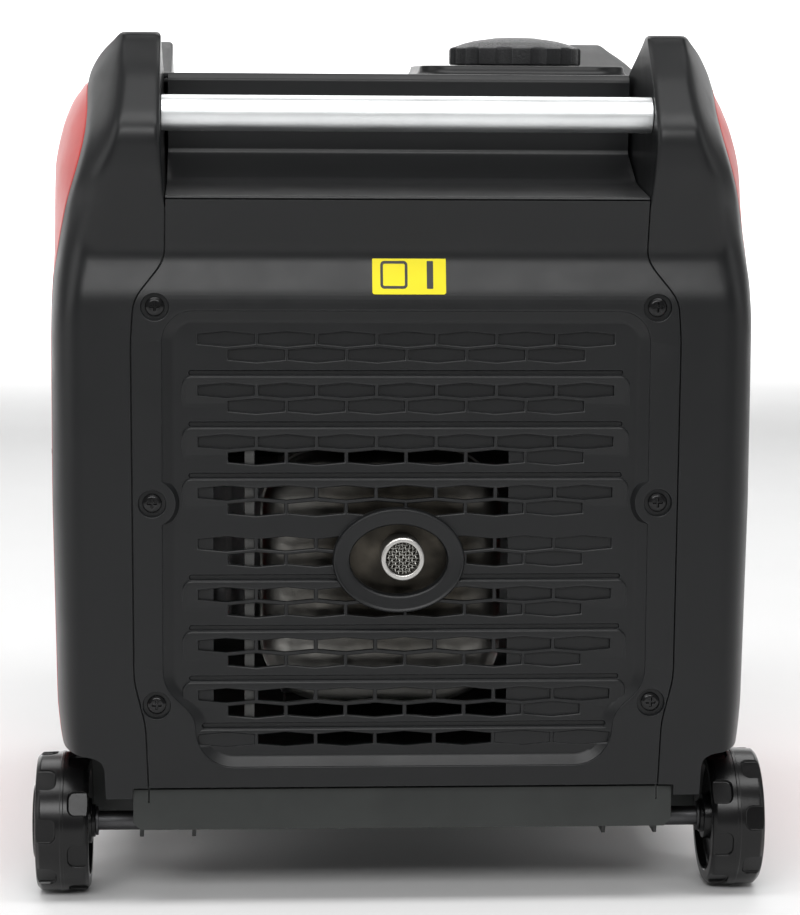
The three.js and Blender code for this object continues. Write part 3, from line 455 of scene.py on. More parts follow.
class Recipe:
    """A material being built: its nodes, its shader, and the position all its patterns use."""

    def __init__(self, name, colour, roughness, metallic=0.0, **sockets):
        self.material = bpy.data.materials.new(name)
        self.material.use_nodes = True
        self.nodes = self.material.node_tree.nodes
        self.links = self.material.node_tree.links
        self.shader = self.nodes["Principled BSDF"]
        self.colour = colour
        self.roughness = roughness
        self.set("Base Color", (*colour, 1))
        self.set("Roughness", roughness)
        self.set("Metallic", metallic)
        for socket, value in sockets.items():
            self.set(socket.replace("_", " "), value)
        self.position = self.node("TexCoord", {}).outputs["Object"]
        self.normal = None

    def set(self, socket, value):
        self.shader.inputs[socket].default_value = value

    def node(self, kind, inputs, **settings):
        """A new node, whose inputs are set to values or linked to other nodes' outputs."""
        node = self.nodes.new(f"ShaderNode{kind}")
        for name, value in settings.items():
            setattr(node, name, value)
        for key, value in inputs.items():
            if isinstance(value, bpy.types.NodeSocket):
                self.links.new(value, node.inputs[key])
            else:
                node.inputs[key].default_value = value
        return node

    def stretched(self, scale):
        """The position, squeezed along each axis."""
        return self.node("Mapping", {"Scale": scale, "Vector": self.position}).outputs["Vector"]

    def noise(self, size_mm, detail=3.0, rough=0.55, vector=None):
        """Noise with blobs of about that size."""
        inputs = {"Scale": 1 / (size_mm * MM), "Detail": detail, "Roughness": rough}
        return self.node("TexNoise", {**inputs, "Vector": vector or self.position}).outputs["Fac"]

    def ramp(self, value, low, high, start=0.0, end=1.0):
        """The value mapped from [start, end] to [low, high]."""
        inputs = {"From Min": start, "From Max": end, "To Min": low, "To Max": high, "Value": value}
        return self.node("MapRange", inputs).outputs["Result"]

    def blend(self, amount, a, b):
        """Colour or socket a, going to colour b with the amount."""
        a, b = ((*value, 1) if isinstance(value, tuple) else value for value in (a, b))
        return self.node("Mix", {"Factor": amount, 6: a, 7: b}, data_type="RGBA").outputs[2]

    def bump(self, height, depth_mm):
        """Adds a relief of that depth to the surface."""
        below = {"Normal": self.normal} if self.normal else {}
        inputs = {"Strength": 1.0, "Distance": depth_mm * MM, "Height": height, **below}
        self.normal = self.node("Bump", inputs).outputs["Normal"]
        self.links.new(self.normal, self.shader.inputs["Normal"])

    def tint(self, spread, size_mm, wear=None):
        """Lets the colour vary softly, and lightens worn edges."""
        dark = tuple(c * (1 - spread) for c in self.colour)
        light = tuple(c * (1 + spread) for c in self.colour)
        out = self.blend(self.ramp(self.noise(size_mm), 0, 1, 0.3, 0.7), dark, light)
        if wear:
            out = self.blend(self.edges(), out, wear)
        self.links.new(out, self.shader.inputs["Base Color"])

    def edges(self):
        """Sharp edges, broken up by noise, from 0 to 1."""
        round_normal = self.node("Bevel", {"Radius": WEAR_WIDTH * MM}, samples=4).outputs["Normal"]
        normal = self.node("NewGeometry", {}).outputs["Normal"]
        likeness = self.node("VectorMath", {0: round_normal, 1: normal}, operation="DOT_PRODUCT")
        edge = self.ramp(likeness.outputs["Value"], 0.7, 0, 0.8, 0.985)
        broken = self.ramp(self.noise(4), 0.1, 1.2, 0.35, 0.65)
        return self.node("Math", {0: edge, 1: broken}, operation="MULTIPLY", use_clamp=True).outputs["Value"]

    def polish(self, spread, size_mm, vector=None):
        """Lets the roughness vary."""
        low, high = self.roughness - spread, self.roughness + spread
        value = self.ramp(self.noise(size_mm, vector=vector), low, high, 0.3, 0.7)
        self.links.new(value, self.shader.inputs["Roughness"])


def moulded(name, colour, roughness, grain, relief, wear, **sockets):
    """Moulded plastic: a fine grain, soft changes of tone, and lighter edges."""
    r = Recipe(name, colour, roughness, **sockets)
    r.tint(0.05, 60, wear)
    r.polish(0.03, 25)
    r.bump(r.noise(grain, 4, 0.6), relief)
    return r.material


def speckled_grip(name, colour):
    """Coarse spark-eroded plastic."""
    r = Recipe(name, colour, 0.42, Specular_IOR_Level=0.3)
    r.tint(0.25, 1.6, (0.16, 0.165, 0.17))
    r.polish(0.12, 1.2)
    r.bump(r.noise(1.5, 5, 0.7), 0.5)
    return r.material


def painted(name, colour, roughness, **sockets):
    """Painted steel: a little orange peel and rubbed edges."""
    r = Recipe(name, colour, roughness, **sockets)
    r.tint(0.12, 30, tuple(min(1, c * 3 + 0.02) for c in colour))
    r.polish(0.07, 12)
    r.bump(r.noise(2.5, 2, 0.4), 0.04)
    return r.material


def rubbery(name, colour):
    r = Recipe(name, colour, 0.8)
    r.tint(0.2, 8, tuple(c * 2.5 for c in colour))
    r.polish(0.06, 5)
    r.bump(r.noise(0.8, 4), 0.12)
    return r.material


def drawn_metal(name, colour, roughness, lines, relief=0.01):
    """Metal with fine lines, squeezed as (x, y, z) scales say."""
    r = Recipe(name, colour, roughness, 1.0)
    vector = r.stretched(lines)
    r.tint(0.05, 40)
    r.polish(0.06, 1.2, vector)
    r.bump(r.noise(0.9, 3, vector=vector), relief)
    return r.material


def cast_metal(name, colour):
    r = Recipe(name, colour, 0.5, 1.0)
    r.tint(0.15, 12, tuple(min(1, c * 1.5) for c in colour))
    r.polish(0.1, 5)
    r.bump(r.noise(1.2, 5, 0.65), 0.15)
    return r.material


def outlet_darkened_steel(name, colour, dark_centre_mm, reach_mm):
    """Muffler sheet with shallow dents, and darker round the outlet."""
    r = Recipe(name, colour, 0.42, 1.0)
    away = r.node("VectorMath", {0: r.position, 1: Vector(dark_centre_mm) * MM}, operation="DISTANCE")
    fade_out = r.ramp(away.outputs["Value"], 0, 1, 0.45 * reach_mm * MM, reach_mm * MM)
    # the colour darkens toward the outlet, with two dark tones mixed by noise in the middle
    darkest_tone, scale = (0.035, 0.032, 0.027), (0.075, 0.067, 0.055)
    dark_patch = r.blend(r.ramp(r.noise(30, 4), 0, 1, 0.4, 0.65), darkest_tone, scale)
    r.links.new(r.blend(fade_out, dark_patch, colour), r.shader.inputs["Base Color"])
    r.polish(0.12, 14)
    r.bump(r.noise(26, 2), 1.2)
    r.bump(r.noise(1.0, 3), 0.03)
    return r.material


def wound_wire(name, colour):
    """Varnished windings: fine rings round the X axis."""
    r = Recipe(name, colour, 0.35, 1.0)
    r.tint(0.2, 4)
    r.polish(0.08, 3)
    r.bump(r.noise(1.4, 2, vector=r.stretched((1, 0.05, 0.05))), 0.5)
    return r.material


def open_foam(name, colour):
    r = Recipe(name, colour, 0.95)
    r.tint(0.35, 1.5)
    r.polish(0.03, 4)
    r.bump(r.noise(1.8, 4, 0.7), 0.8)
    return r.material


def make_materials():
    """One material for each of the record's slots, and a few for details."""
    dull = {"Specular_IOR_Level": 0.3}
    black, gloss_black = (0.0065, 0.0069, 0.0074), (0.004, 0.004, 0.0042)
    return {
        "black_plastic": moulded("black plastic", black, 0.36, 0.7, 0.035, (0.045, 0.047, 0.05), **dull),
        "red_plastic": moulded("red plastic", (0.5, 0.022, 0.016), 0.35, 1.2, 0.012, (0.7, 0.15, 0.12)),
        "gloss_black_plastic": moulded("gloss plastic", gloss_black, 0.24, 3, 0.02, (0.03,) * 3, **dull),
        "grey_plastic": moulded("grey plastic", (0.075, 0.078, 0.082), 0.5, 0.7, 0.04, (0.2, 0.205, 0.21)),
        "cap_grip": speckled_grip("cap plastic", (0.012, 0.0125, 0.0135)),
        "rubber": rubbery("rubber", (0.012, 0.012, 0.012)),
        "black_steel": painted("black paint", (0.013, 0.0135, 0.013), 0.36),
        "skirt_paint": painted("skirt paint", (0.022, 0.0245, 0.023), 0.4, Specular_IOR_Level=0.36),
        "screw_finish": painted("screw finish", (0.006, 0.006, 0.0065), 0.2, Metallic=0.4),
        "aluminium": drawn_metal("aluminium", (0.72, 0.735, 0.74), 0.4, (0.03, 1, 1)),
        "cast_aluminium": cast_metal("cast aluminium", (0.42, 0.43, 0.44)),
        "bright_steel": drawn_metal("bright steel", (0.5, 0.49, 0.47), 0.36, (0.2, 1, 1)),
        "axle_steel": drawn_metal("axle steel", (0.09, 0.09, 0.093), 0.45, (0.2, 1, 1)),
        "bracket_steel": drawn_metal("bracket steel", (0.075, 0.075, 0.073), 0.5, (1, 1, 0.2)),
        "mesh_wire": drawn_metal("mesh wire", (0.36, 0.355, 0.33), 0.38, (1, 1, 1), 0.03),
        "muffler_steel": outlet_darkened_steel("muffler steel", (0.26, 0.255, 0.24), (-2, -240, 227), 95),
        "copper_winding": wound_wire("copper winding", (0.62, 0.27, 0.12)),
        "brass": drawn_metal("brass", (0.68, 0.5, 0.2), 0.3, (1, 0.1, 1)),
        "filter_foam": open_foam("filter foam", (0.05, 0.05, 0.05)),
        "label_yellow": moulded("yellow film", (0.74, 0.64, 0.004), 0.5, 1.5, 0.01, (0.8, 0.7, 0.05), **dull),
        "label_ink": moulded("label ink", (0.01, 0.01, 0.008), 0.5, 1.5, 0.01, (0.04, 0.04, 0.04)),
    }


# ---- dressing pieces

WELD = 0.005
FLAT_DEGREES = 0.5  # faces that meet at less are one flat face
BEVEL_DEGREES = 35  # edges that turn more get a bevel
SHARP_DEGREES = 32  # edges that turn more stay sharp


class Workshop:
    """What every piece needs to know of the frame: bodies, slots and materials."""

    def __init__(self, frame):
        record = frame["record"]
        self.nodes = frame["nodes"]
        self.slots = {row["node"]: row["material_slot"] for row in record["subparts"]}
        groups = record["behaviour"]["bodies"]
        self.body = {node: body for body, members in groups.items() for node in members}
        self.materials = make_materials()

    def dress(self, piece, node, material=None, replaces=True):
        """Finishes a piece that takes its body and slot from a CAD node, and stands for it."""
        shade(piece)
        piece.data.materials.clear()
        piece.data.materials.append(self.materials[material or self.slots[node]])
        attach(piece, self.body[node])
        if replaces:
            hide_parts(node)

    def keep(self, node, width, material=None):
        """Gives a CAD node that stays in view rounded edges and its slot's material."""
        kept = self.nodes[node]
        with bpy.context.temp_override(object=kept, active_object=kept):
            bpy.ops.mesh.customdata_custom_splitnormals_clear()
        kept.data.materials.clear()
        kept.data.materials.append(self.materials[material or self.slots[node]])
        kept.data.polygons.foreach_set("use_smooth", [True] * len(kept.data.polygons))
        modify(kept, "WELD", merge_threshold=WELD * MM)
        modify(kept, "DECIMATE", decimate_type="DISSOLVE", angle_limit=math.radians(FLAT_DEGREES))
        turn = math.radians(BEVEL_DEGREES)
        modify(kept, "BEVEL", width=width * MM, segments=2, limit_method="ANGLE", angle_limit=turn)
        modify(kept, "WEIGHTED_NORMAL", keep_sharp=True)


def modify(piece, kind, **settings):
    """Adds a modifier with its settings."""
    modifier = piece.modifiers.new(kind.lower(), kind)
    for name, value in settings.items():
        setattr(modifier, name, value)


def shade(piece):
    """Smooth faces with sharp corners, weighted so that flat faces look flat."""
    piece.data.polygons.foreach_set("use_smooth", [True] * len(piece.data.polygons))
    piece.data.set_sharp_from_angle(angle=math.radians(SHARP_DEGREES))
    modify(piece, "WEIGHTED_NORMAL", keep_sharp=True)


# ---- corner covers

FACE_STEPS = 12
COVER_CUT = [(-20, 0), (60, 0)]  # stations of a cut right through a cover's face


def cover_face(z):
    """Face and flank of a corner cover at a height, inner edge to side edge, as (x, depth)."""
    front, edge = soft(POST_FRONT, z), soft(POST_EDGE, z)
    inner = soft(POST_INNER, z) + along(INNER_ROUNDING, z)
    start, end = Vector((soft(POST_CREASE, z), front)), Vector((edge, soft(SIDE_DEPTH, z)))
    turn = along(FLANK_TURN, z)
    corner = start.lerp(end, 0.5).lerp(Vector((edge, front)), soft(POST_FULLNESS, z))
    corner = corner.lerp(end - Vector(RIM), turn)
    path = between((inner, front), start, FACE_STEPS)
    for i in range(FACE_STEPS + 1):
        t = i / FACE_STEPS
        a, b, c = (1 - t) ** 2, (2 + 4 * turn) * t * (1 - t), t * t
        path.append((start * a + corner * b + end * c) / (a + b + c))
    return relaxed(path, 3)


def cover_ring(z, back, inset=0.0):
    """Closed section of a corner cover: its face, its rounded edges and the given back."""
    front, inner, edge = soft(POST_FRONT, z), soft(POST_INNER, z), soft(POST_EDGE, z)
    r = along(INNER_ROUNDING, z)
    turns = [math.pi / 8 * i for i in range(4)]
    inner_edge = [(inner + r * (1 - math.cos(a)), front + r * (1 - math.sin(a))) for a in turns]
    back_edge = soft(SIDE_DEPTH, z)
    if z < LEDGE:
        side_edge = [(edge - 0.05, back_edge - 0.9), (edge - 0.35, back_edge - 0.3), (edge - 1, back_edge)]
    else:
        side_edge = [(edge, back_edge + rise) for rise in (0, 0.5, 1)]
    ring = [*inner_edge, *cover_face(z)[:-1], *side_edge, *back(z)]
    return [(x, depth - PANEL_Y, z) for x, depth in (shrunk(ring, inset) if inset else ring)]


def shell_back(z):
    """Inside of a cover's lower part, side edge to inner edge."""
    return [*reversed(beside(cover_face(z), WALL)), (soft(POST_INNER, z), soft(POST_FRONT, z) + WALL)]


def fin_back(z):
    """Sides and back of a post's fin, side edge to inner edge."""
    tuck, start = (WALL + 1, soft(SIDE_DEPTH, z)) if z < LEDGE else (0, soft(SIDE_DEPTH, z) + 1.5)
    side, inner, fin = soft(POST_EDGE, z) - tuck, soft(POST_INNER, z), soft(POST_FIN, z)
    r = min(4.0, (fin - start) / 2)
    outer_arc = arc(Vector((side - r, fin - r)), Vector((side, fin - r)), Vector((side - r, fin)), 5)
    inner_arc = arc(Vector((inner + r, fin - r)), Vector((inner + r, fin)), Vector((inner, fin - r)), 5)
    back = [*between((side, start), (side, fin - r), 9), *outer_arc]
    return [*back, *between((side - r, fin), (inner + r, fin), 6)[1:], *inner_arc]


def corner_cover(name, over_wheel):
    """A rear right corner cover with its post, notched for the base tray, and for a wheel if told."""
    rings = [cover_ring(z, shell_back) for z in levels(COVER_BOTTOM, FIN_BOTTOM, 4)]
    rings += [cover_ring(z, fin_back) for z in levels(FIN_BOTTOM + 0.1, LEDGE - 0.1, 2.5)]
    rings += [cover_ring(z, fin_back) for z in levels(LEDGE + 0.1, POST_TOP - 3, 2)]
    top = [(2.4, 0.0), (1.6, 0.25), (0.8, 0.8), (0.25, 1.5), (0, 2.2)]
    rings += [cover_ring(POST_TOP - below, fin_back, inset) for below, inset in top]
    cover = loft(name, rings)
    x, z = 120, 60  # a place inside the tray
    notch = rectangle(x, z, 2 * (SKIRT["half"] + GAP - x), 2 * (FLOOR_TOP + GAP - z), 1)
    cut(cover, rear_slab("notch", notch, COVER_CUT))
    if over_wheel:
        cut(cover, rear_slab("arch", rounded(WHEEL_ARCH), COVER_CUT))
    return cover


def add_corner_covers(shop):
    """Four covers, each end's pair from one."""
    for end, sy in ENDS.items():
        cover = corner_cover(f"{end}_cover", end == "rear")
        for side, sx in SIDES.items():
            shop.dress(mirrored(cover, f"{end}_{side}_cover_shell", sx, -sy), f"{end}_{side}_corner_cover")
        bpy.data.objects.remove(cover)


# ---- side panels


def side_ring(depth, sy, inset):
    """Thin closed section of a side panel at a depth from an end, thinned by an inset.

    sy is -1 for the rear end and 1 for the front end.
    """
    t = min(1, (depth - EDGE_DEPTH) / (BULGE_DEPTH - EDGE_DEPTH))
    share = t * (2 - t)  # of the bulge, which flattens out as it is reached
    top = SIDE_FULL[-1][0]
    outer = []
    for z in [*levels(82, 150, 6), *levels(158, 446, 16), *levels(450, top - 2, 3.5)]:
        edge = soft(POST_EDGE, z, 4) + GAP
        outer.append((edge + (soft(SIDE_FULL, z, 4) - edge) * share, z))
    last = outer[-1][0]
    rim = [(last - 0.9, top - 0.7), (last - 1.8, top)]
    inner = [(x - WALL, min(z, top - WALL)) for x, z in reversed(outer)]
    ring = grown([*outer, *rim, *inner], -inset)

    def into(z):
        return depth + (soft(SIDE_DEPTH, z) - EDGE_DEPTH) * (1 - t)

    return [(x, sy * (PANEL_Y - into(z)), z) for x, z in ring]


def side_panel(name):
    """The right side panel, arched over the wheel at the rear."""
    start = EDGE_DEPTH + GAP
    ends = [(start, 0.8), (start + 0.25, 0.25), (start + 0.8, 0)]
    swell = [(depth, 0) for depth in levels(start + 4, BULGE_DEPTH, 7)]
    middle = [(depth, 0) for depth in levels(BULGE_DEPTH + 20, PANEL_Y, 25)]
    half = [*ends, *swell, *middle]
    rings = [side_ring(depth, -1, inset) for depth, inset in half]
    rings += [side_ring(depth, 1, inset) for depth, inset in reversed(half[:-1])]
    panel = loft(name, rings)
    arch = circle(AXLE_Y, AXLE_Z, WHEEL["radius"] + 12, 72)
    return cut(panel, slab("arch", "x", arch, [(150, 0), (222.5, 0), (226, 1.6), (240, 1.6)]))


def doorway(gap, radius):
    """Outline of the service door's opening, less a gap all round."""
    y, z = (DOOR["y0"] + DOOR["y1"]) / 2, (DOOR["z0"] + DOOR["z1"]) / 2
    return rectangle(y, z, DOOR["y1"] - DOOR["y0"] - 2 * gap, DOOR["z1"] - DOOR["z0"] - 2 * gap, radius)


def add_side_panels(shop):
    """Both panels: the right one with the grip's hole, the left one with the doorway."""
    right = side_panel("right_side_shell")
    left = mirrored(right, "left_side_shell", -1, 1)
    outer = HALF_WIDTH
    flare = [(200, 0), (outer - 1, 0), (outer - 0.3, 0.3), (outer + 0.4, 1.2), (240, 1.2)]
    cut(right, slab("hole", "x", circle(GRIP["y"], GRIP["z"], 7, 32), flare))
    flare = [(-240, 0.7), (-outer - 0.4, 0.7), (-outer + 0.6, 0), (-200, 0)]
    cut(left, slab("doorway", "x", doorway(0, 1.5), flare))
    shop.dress(right, "right_side_panel")
    shop.dress(left, "left_side_panel")


def add_service_door(shop):
    """The door with its shallow recess, and its knob with a wing to turn it by."""
    y, z = (DOOR["y0"] + DOOR["y1"]) / 2, (DOOR["z0"] + DOOR["z1"]) / 2
    width, height = DOOR["y1"] - DOOR["y0"] - 2, DOOR["z1"] - DOOR["z0"] - 2
    outer = -HALF_WIDTH
    door = slab("service_door_shell", "x", doorway(1, 1), edged(outer, outer + WALL, 0.6))
    panel = rectangle(y + 14, z, width - 60, height - 36, 10)
    shallow = [(outer - 1, 0.8), (outer, 0.8), (outer + 0.4, 0.2), (outer + 1.2, -0.6)]
    cut(door, slab("recess", "x", panel, shallow))
    knob_y, reach = DOOR["y0"] + KNOB["inset"], KNOB["head"]
    cut(door, slab("stem", "x", circle(knob_y, z, KNOB["stem"], 32), [(-240, 0), (-200, 0)]))
    shop.dress(door, "service_door")

    head = [(0, -4), (reach - 1, -4, 1.5), (reach, -2.6, 1), (reach, -GAP), (4, -GAP), (4, 4, 1), (0, 4)]
    head = rounded(head, 3)
    head = turned("service_door_knob_shell", "x", [(r, outer + t) for r, t in head], knob_y, z)
    wing = slab("wing", "x", rectangle(knob_y, z, 22, 5, 2), edged(outer - 6, outer - 3, 0.8))
    shop.dress(add(head, wing), "service_door_knob")


# ---- top cover and cap

# Section of the top cover between two posts, as (depth, height, radius).
COVER_OUTER = [
    (-4.2, 452.7, 0.5), (-2.5, 454.6, 1.2), (58, 461, 50), (100, 479, 4), (97, 526, 4), (100, 530, 2),
]
COVER_INNER = [(101.5, 527), (100.2, 525), (103, 477.5), (58.6, 458), (0.5, 452.7)]


def add_top_cover(shop):
    """The band between the posts, the deck over it and the raised plate round the filler neck."""
    rear = [(depth - PANEL_Y, *rest) for depth, *rest in COVER_OUTER]
    inside = [(depth - PANEL_Y, z) for depth, z in COVER_INNER]
    front, inside_front = ([(-y, *rest) for y, *rest in reversed(part)] for part in (rear, inside))
    half = along(POST_INNER, 452) - GAP
    band = rounded([*rear, *front, *inside_front, *inside])
    band = slab("top_cover_shell", "x", band, edged(-half, half, 0.3, 1))
    deck_half = along(POST_EDGE, 522) + 1
    deck_y = PANEL_Y - POST_FIN[1][1] - GAP
    flat_half = 188
    left = [(-deck_half, 523.6), (-deck_half + 2, 526.5, 4), (-flat_half, DECK_TOP, 20)]
    right = [(-x, *rest) for x, *rest in reversed(left)]
    deck = rounded([*left, *right, (flat_half, DECK_TOP - WALL), (-flat_half, DECK_TOP - WALL)])
    deck = slab("deck", "y", deck, edged(-deck_y, deck_y, 0.6))
    top = CAP["base"] - 0.7
    plate = rectangle(CAP["x"], CAP["y"], 140, 140, 22, 8)
    flared = [(DECK_TOP - WALL, 3), (DECK_TOP, 3), (DECK_TOP + 1, 1.6), (DECK_TOP + 3, 0.4)]
    plate = slab("plate", "z", plate, [*flared, *edged(DECK_TOP + 4, top, 1.4)[-4:]])
    cover = add(band, deck, plate)
    neck = slab("neck", "z", circle(CAP["x"], CAP["y"], 31), [(400, 0), (600, 0)])
    shop.dress(cut(cover, neck), "top_cover")


def cap_outline(radius, groove):
    """The cap's lobed outline, with grooves of that depth between the lobes."""
    steps = 16
    points = []
    for i in range(CAP["lobes"] * steps):
        a = 2 * math.pi * i / (CAP["lobes"] * steps)
        reach = radius - groove * max(0.0, -math.cos(CAP["lobes"] * a)) ** 0.6
        points.append((CAP["x"] + reach * math.cos(a), CAP["y"] + reach * math.sin(a)))
    return points


def add_fuel_cap(shop):
    """A domed, lobed cap, hollow underneath."""
    radius, base, top = CAP["radius"], CAP["base"], CAP["top"]
    rim = [  # height above the base, distance in from the radius, depth of the grooves
        (1.2, 7, 0), (0, 6, 0), (0, 1.2, 1.6), (0.5, 0.3, 2.2), (1.4, 0, 2.4), (10.2, 0, 2.4),
        (11.4, 0.5, 2.2), (12.2, 1.8, 1.4), (12.8, 4, 0.5),
    ]
    profile = [(base + rise, radius - inward, groove) for rise, inward, groove in rim]
    profile += [(base + 15, 36, 0), (base + 16.8, 29, 0), (base + 17.8, 22, 0)]
    profile += [(top - 0.5, 16.5, 0), (top - 0.1, 14.5, 0), (top, 12, 0)]
    rings = [[(x, y, z) for x, y in cap_outline(r, groove)] for z, r, groove in profile]
    cap = loft("fuel_cap_shell_outer", rings)
    hollow = [(0, base - 1), (40, base - 1), (40, base + 9), (32, top - WALL), (0, top - WALL)]
    cut(cap, turned("hollow", "z", hollow, CAP["x"], CAP["y"]))
    shop.dress(cap, "fuel_cap_shell", "cap_grip")


# ---- end panels


def panel_skin(name, sy):
    """An end panel's thin skin, lipped behind the corner covers.

    sy is -1 at the rear and 1 at the front.
    """
    heights = [*levels(FLOOR_TOP + 0.6, 163, 4), *levels(200, 350, 50), *levels(357, PANEL_TOP, 2.4)]
    rings = []
    for z in heights:
        half, front = soft(POST_INNER, z) - 0.6, soft(POST_FRONT, z)
        lip = half + (3.5 if z < FIN_BOTTOM - 3 else 0.05)
        back = front + WALL
        right = [
            (half - 0.6, front), (half - 0.15, front + 0.2), (half, front + 0.7), (half, back + 0.4),
            (lip, back + 0.4), (lip, back + 1.8), (half - 2, back + 1.8), (half - 3.2, back),
        ]
        ring = [(-x, depth) for x, depth in reversed(right)] + right
        rings.append([(x, sy * (PANEL_Y - depth), z) for x, depth in ring])
    return loft(name, rings)


def field_outline(margin):
    """Outline of the recessed slot field, moved outward by a margin."""
    half, foot = FIELD["half"] + margin, FIELD["foot_half"] + margin
    top, low = FIELD["top"] + margin, FIELD["bottom"] - margin
    corner, foot_corner = FIELD_CORNER["top"] + margin, FIELD_CORNER["foot"] + margin
    start, end = low + foot_corner, FIELD["straight_end"]
    right = quarter(foot - foot_corner, start, foot_corner, -math.pi / 2)
    right += bend((foot, start), (foot, FIELD["foot_top"] + 6), (half, end - 22), (half, end), 12)
    right += quarter(half - corner, top - corner, corner, 0)
    return right + [(-x, z) for x, z in reversed(right)]


def field_cutter():
    """What the recessed field takes away: a rounded rim, a bevelled wall and a filleted foot."""
    stations = [(-3, 1.2), (0, 1.2), (0.35, 0.35), (1.1, 0), (3.7, -5), (4.2, -6.3), (FIELD_DEPTH, -8)]
    cutter = loft("field", [rear_ring(field_outline(margin), depth) for depth, margin in stations])
    x, z = REAR_SCREWS[1]
    cone = [(-5, 0), (0, 0), (0.4, 0.1), (4, 2.4), (8, 2.9)]
    for side in (-1, 1):
        cut(cutter, rear_slab("boss", circle(side * x, z, SCREW["pad"]), cone))
    return cutter


def rib_plate(z0, half):
    """A plate whose upper edge stands out of the field and which fades back into it below."""
    rise, fade = RIBS["rise"], RIBS["fade"]
    outline = rounded([(-half, z0 - fade), (half, z0 - fade), (half, z0, 6), (-half, z0, 6)], 6)
    rings = []
    bead = [
        (2.6, 0), (0.6, 0), (0, -0.12), (-0.45, -0.45), (-0.7, -1.0), (-0.6, -1.6), (-0.25, -2.2), (0, -2.9),
    ]
    for back, margin in bead:
        ring = []
        for (_, z), (x1, z1) in zip(outline, grown(outline, margin)):
            share = 1 - (z0 - z) / fade
            lift = back * share if back < 0 else back
            ring.append((x1, FIELD_DEPTH - rise * share - 0.02 + lift - PANEL_Y, z1))
        rings.append(ring)
    return loft("plate", rings)


def slot_outline(x, z, left, right):
    """A flat hexagon between two sides."""
    half = SLOT["width"] / 2

    def rise(at):
        return SLOT["end"] / 2 + (SLOT["middle"] - SLOT["end"]) / 2 * (1 - abs(at - x) / half)

    stations = [left, *([x] if left < x < right else []), right]
    return [(at, z - rise(at)) for at in stations] + [(at, z + rise(at)) for at in reversed(stations)]


def slot_cutters():
    """Recesses for all the slots, and the ways through those that are open."""
    half = SLOT["width"] / 2
    rows = []
    for i in range(8):
        rib = RIBS["first"] + RIBS["pitch"] * (1 - i)
        on_plate = i not in (0, 4)  # the places without a rib
        rows.append((rib - SLOT["upper"], 7, on_plate))
        rows.append((rib - SLOT["lower"], 6, False))
    recesses, ways = [], []
    for z, count, on_plate in rows:
        surface = FIELD_DEPTH - (RIBS["rise"] * (1 - SLOT["upper"] / RIBS["fade"]) if on_plate else 0)
        for i in range(count):
            x = (i - (count - 1) / 2) * SLOT["pitch"]
            recesses.append(slot_recess(x, z, surface, SLOT_FLOOR))
            left, right = max(x - half, WINDOW["left"]), min(x + half, WINDOW["right"])
            if WINDOW["low"] < z < WINDOW["high"] and left < right:
                ways.append(way_through(x, z, left, right))
    for i in range(-3, 4):
        x = i * SLOT["pitch"]
        opened = -3 < i < 2
        bottom = SLOT_FLOOR if opened else FIELD_DEPTH
        recesses.append(slot_recess(x, SLOT["last"], FIELD_DEPTH - 0.9, bottom))
        if opened:
            ways.append(way_through(x, SLOT["last"], x - half, x + half))
    return recesses, ways


def slot_recess(x, z, surface, bottom):
    """A recess with a rounded mouth, from the surface to the bottom."""
    half = SLOT["width"] / 2
    mouth = [(-2.5, 1.1), (-0.1, 1.1), (0.02, 0.75), (0.15, 0.45), (0.45, 0.15), (1.0, 0)]
    stations = [*((surface + t, m) for t, m in mouth), (bottom, -0.12)]
    return rear_slab("slot", slot_outline(x, z, x - half, x + half), stations)


def way_through(x, z, left, right):
    """The way through a slot, between two sides of the part that is open."""
    return rear_slab("way", slot_outline(x, z, left, right), [(5, -0.05), (14, -0.05)])


def ribs():
    """Height and half width of each rib. The fourth place has none."""
    rows = [(RIBS["first"] - i * RIBS["pitch"], RIBS["half"]) for i in (0, 1, 2, 4, 5, 6)]
    return [*rows, (LAST_RIB["z"], LAST_RIB["half"])]


def groove(z, half):
    """The dark groove above a rib."""
    right = [(half, z + 0.3), (half + 1, z + 1.8, 1), (half, z + 3.2, 1)]
    left = [(-half, z + 3.2, 1), (-half - 1, z + 1.8, 1)]
    outline = rounded([(-half, z + 0.3), *right, *left], 2)
    stations = [(0, 0.7), (FIELD_DEPTH - 0.1, 0.5), (FIELD_DEPTH + 0.3, 0.1), (FIELD_DEPTH + 1.6, -0.3)]
    return rear_slab("groove", outline, stations)


def bezel_ring():
    """The oval collar round the exhaust outlet."""
    profile = [  # distance in from the outer edge, depth
        (0, 7.4), (0, 1.2), (0.25, 0.2), (0.8, -0.5), (1.4, -0.65), (2.0, -0.35), (2.8, 0), (6, 0.2),
        (9.2, 0.4), (10.1, 0.8), (10.8, 1.8), (11.2, 7.4),
    ]
    rings = []
    for inward, depth in profile:
        outline = ellipse(BEZEL["x"], BEZEL["z"], BEZEL["outer_x"] - inward, BEZEL["outer_z"] - inward)
        rings.append(rear_ring(outline, depth))
    return loft("bezel", rings, around=True)


def screw_seats():
    """Bosses behind the rear panel's screws, and the recesses and bores to cut in them."""
    bosses, recesses, bores = [], [], []
    mouth = [(-3, 0.9), (0, 0.9), (0.25, 0.3), (0.9, 0), (SCREW["depth"], -0.2)]
    for x, z in screw_places():
        bosses.append(rear_slab("boss", circle(x, z, SCREW["boss"], 40), [(1.5, 0), (7.2, 0)]))
        recesses.append(rear_slab("recess", circle(x, z, SCREW["recess"]), mouth))
        bores.append(rear_slab("bore", circle(x, z, SCREW["bore"], 24), [(3, 0), (12, 0)]))
    return bosses, recesses, bores


def screw_places():
    """(x, z) of the rear panel's six screws."""
    return [(side * x, z) for x, z in REAR_SCREWS for side in (-1, 1)]


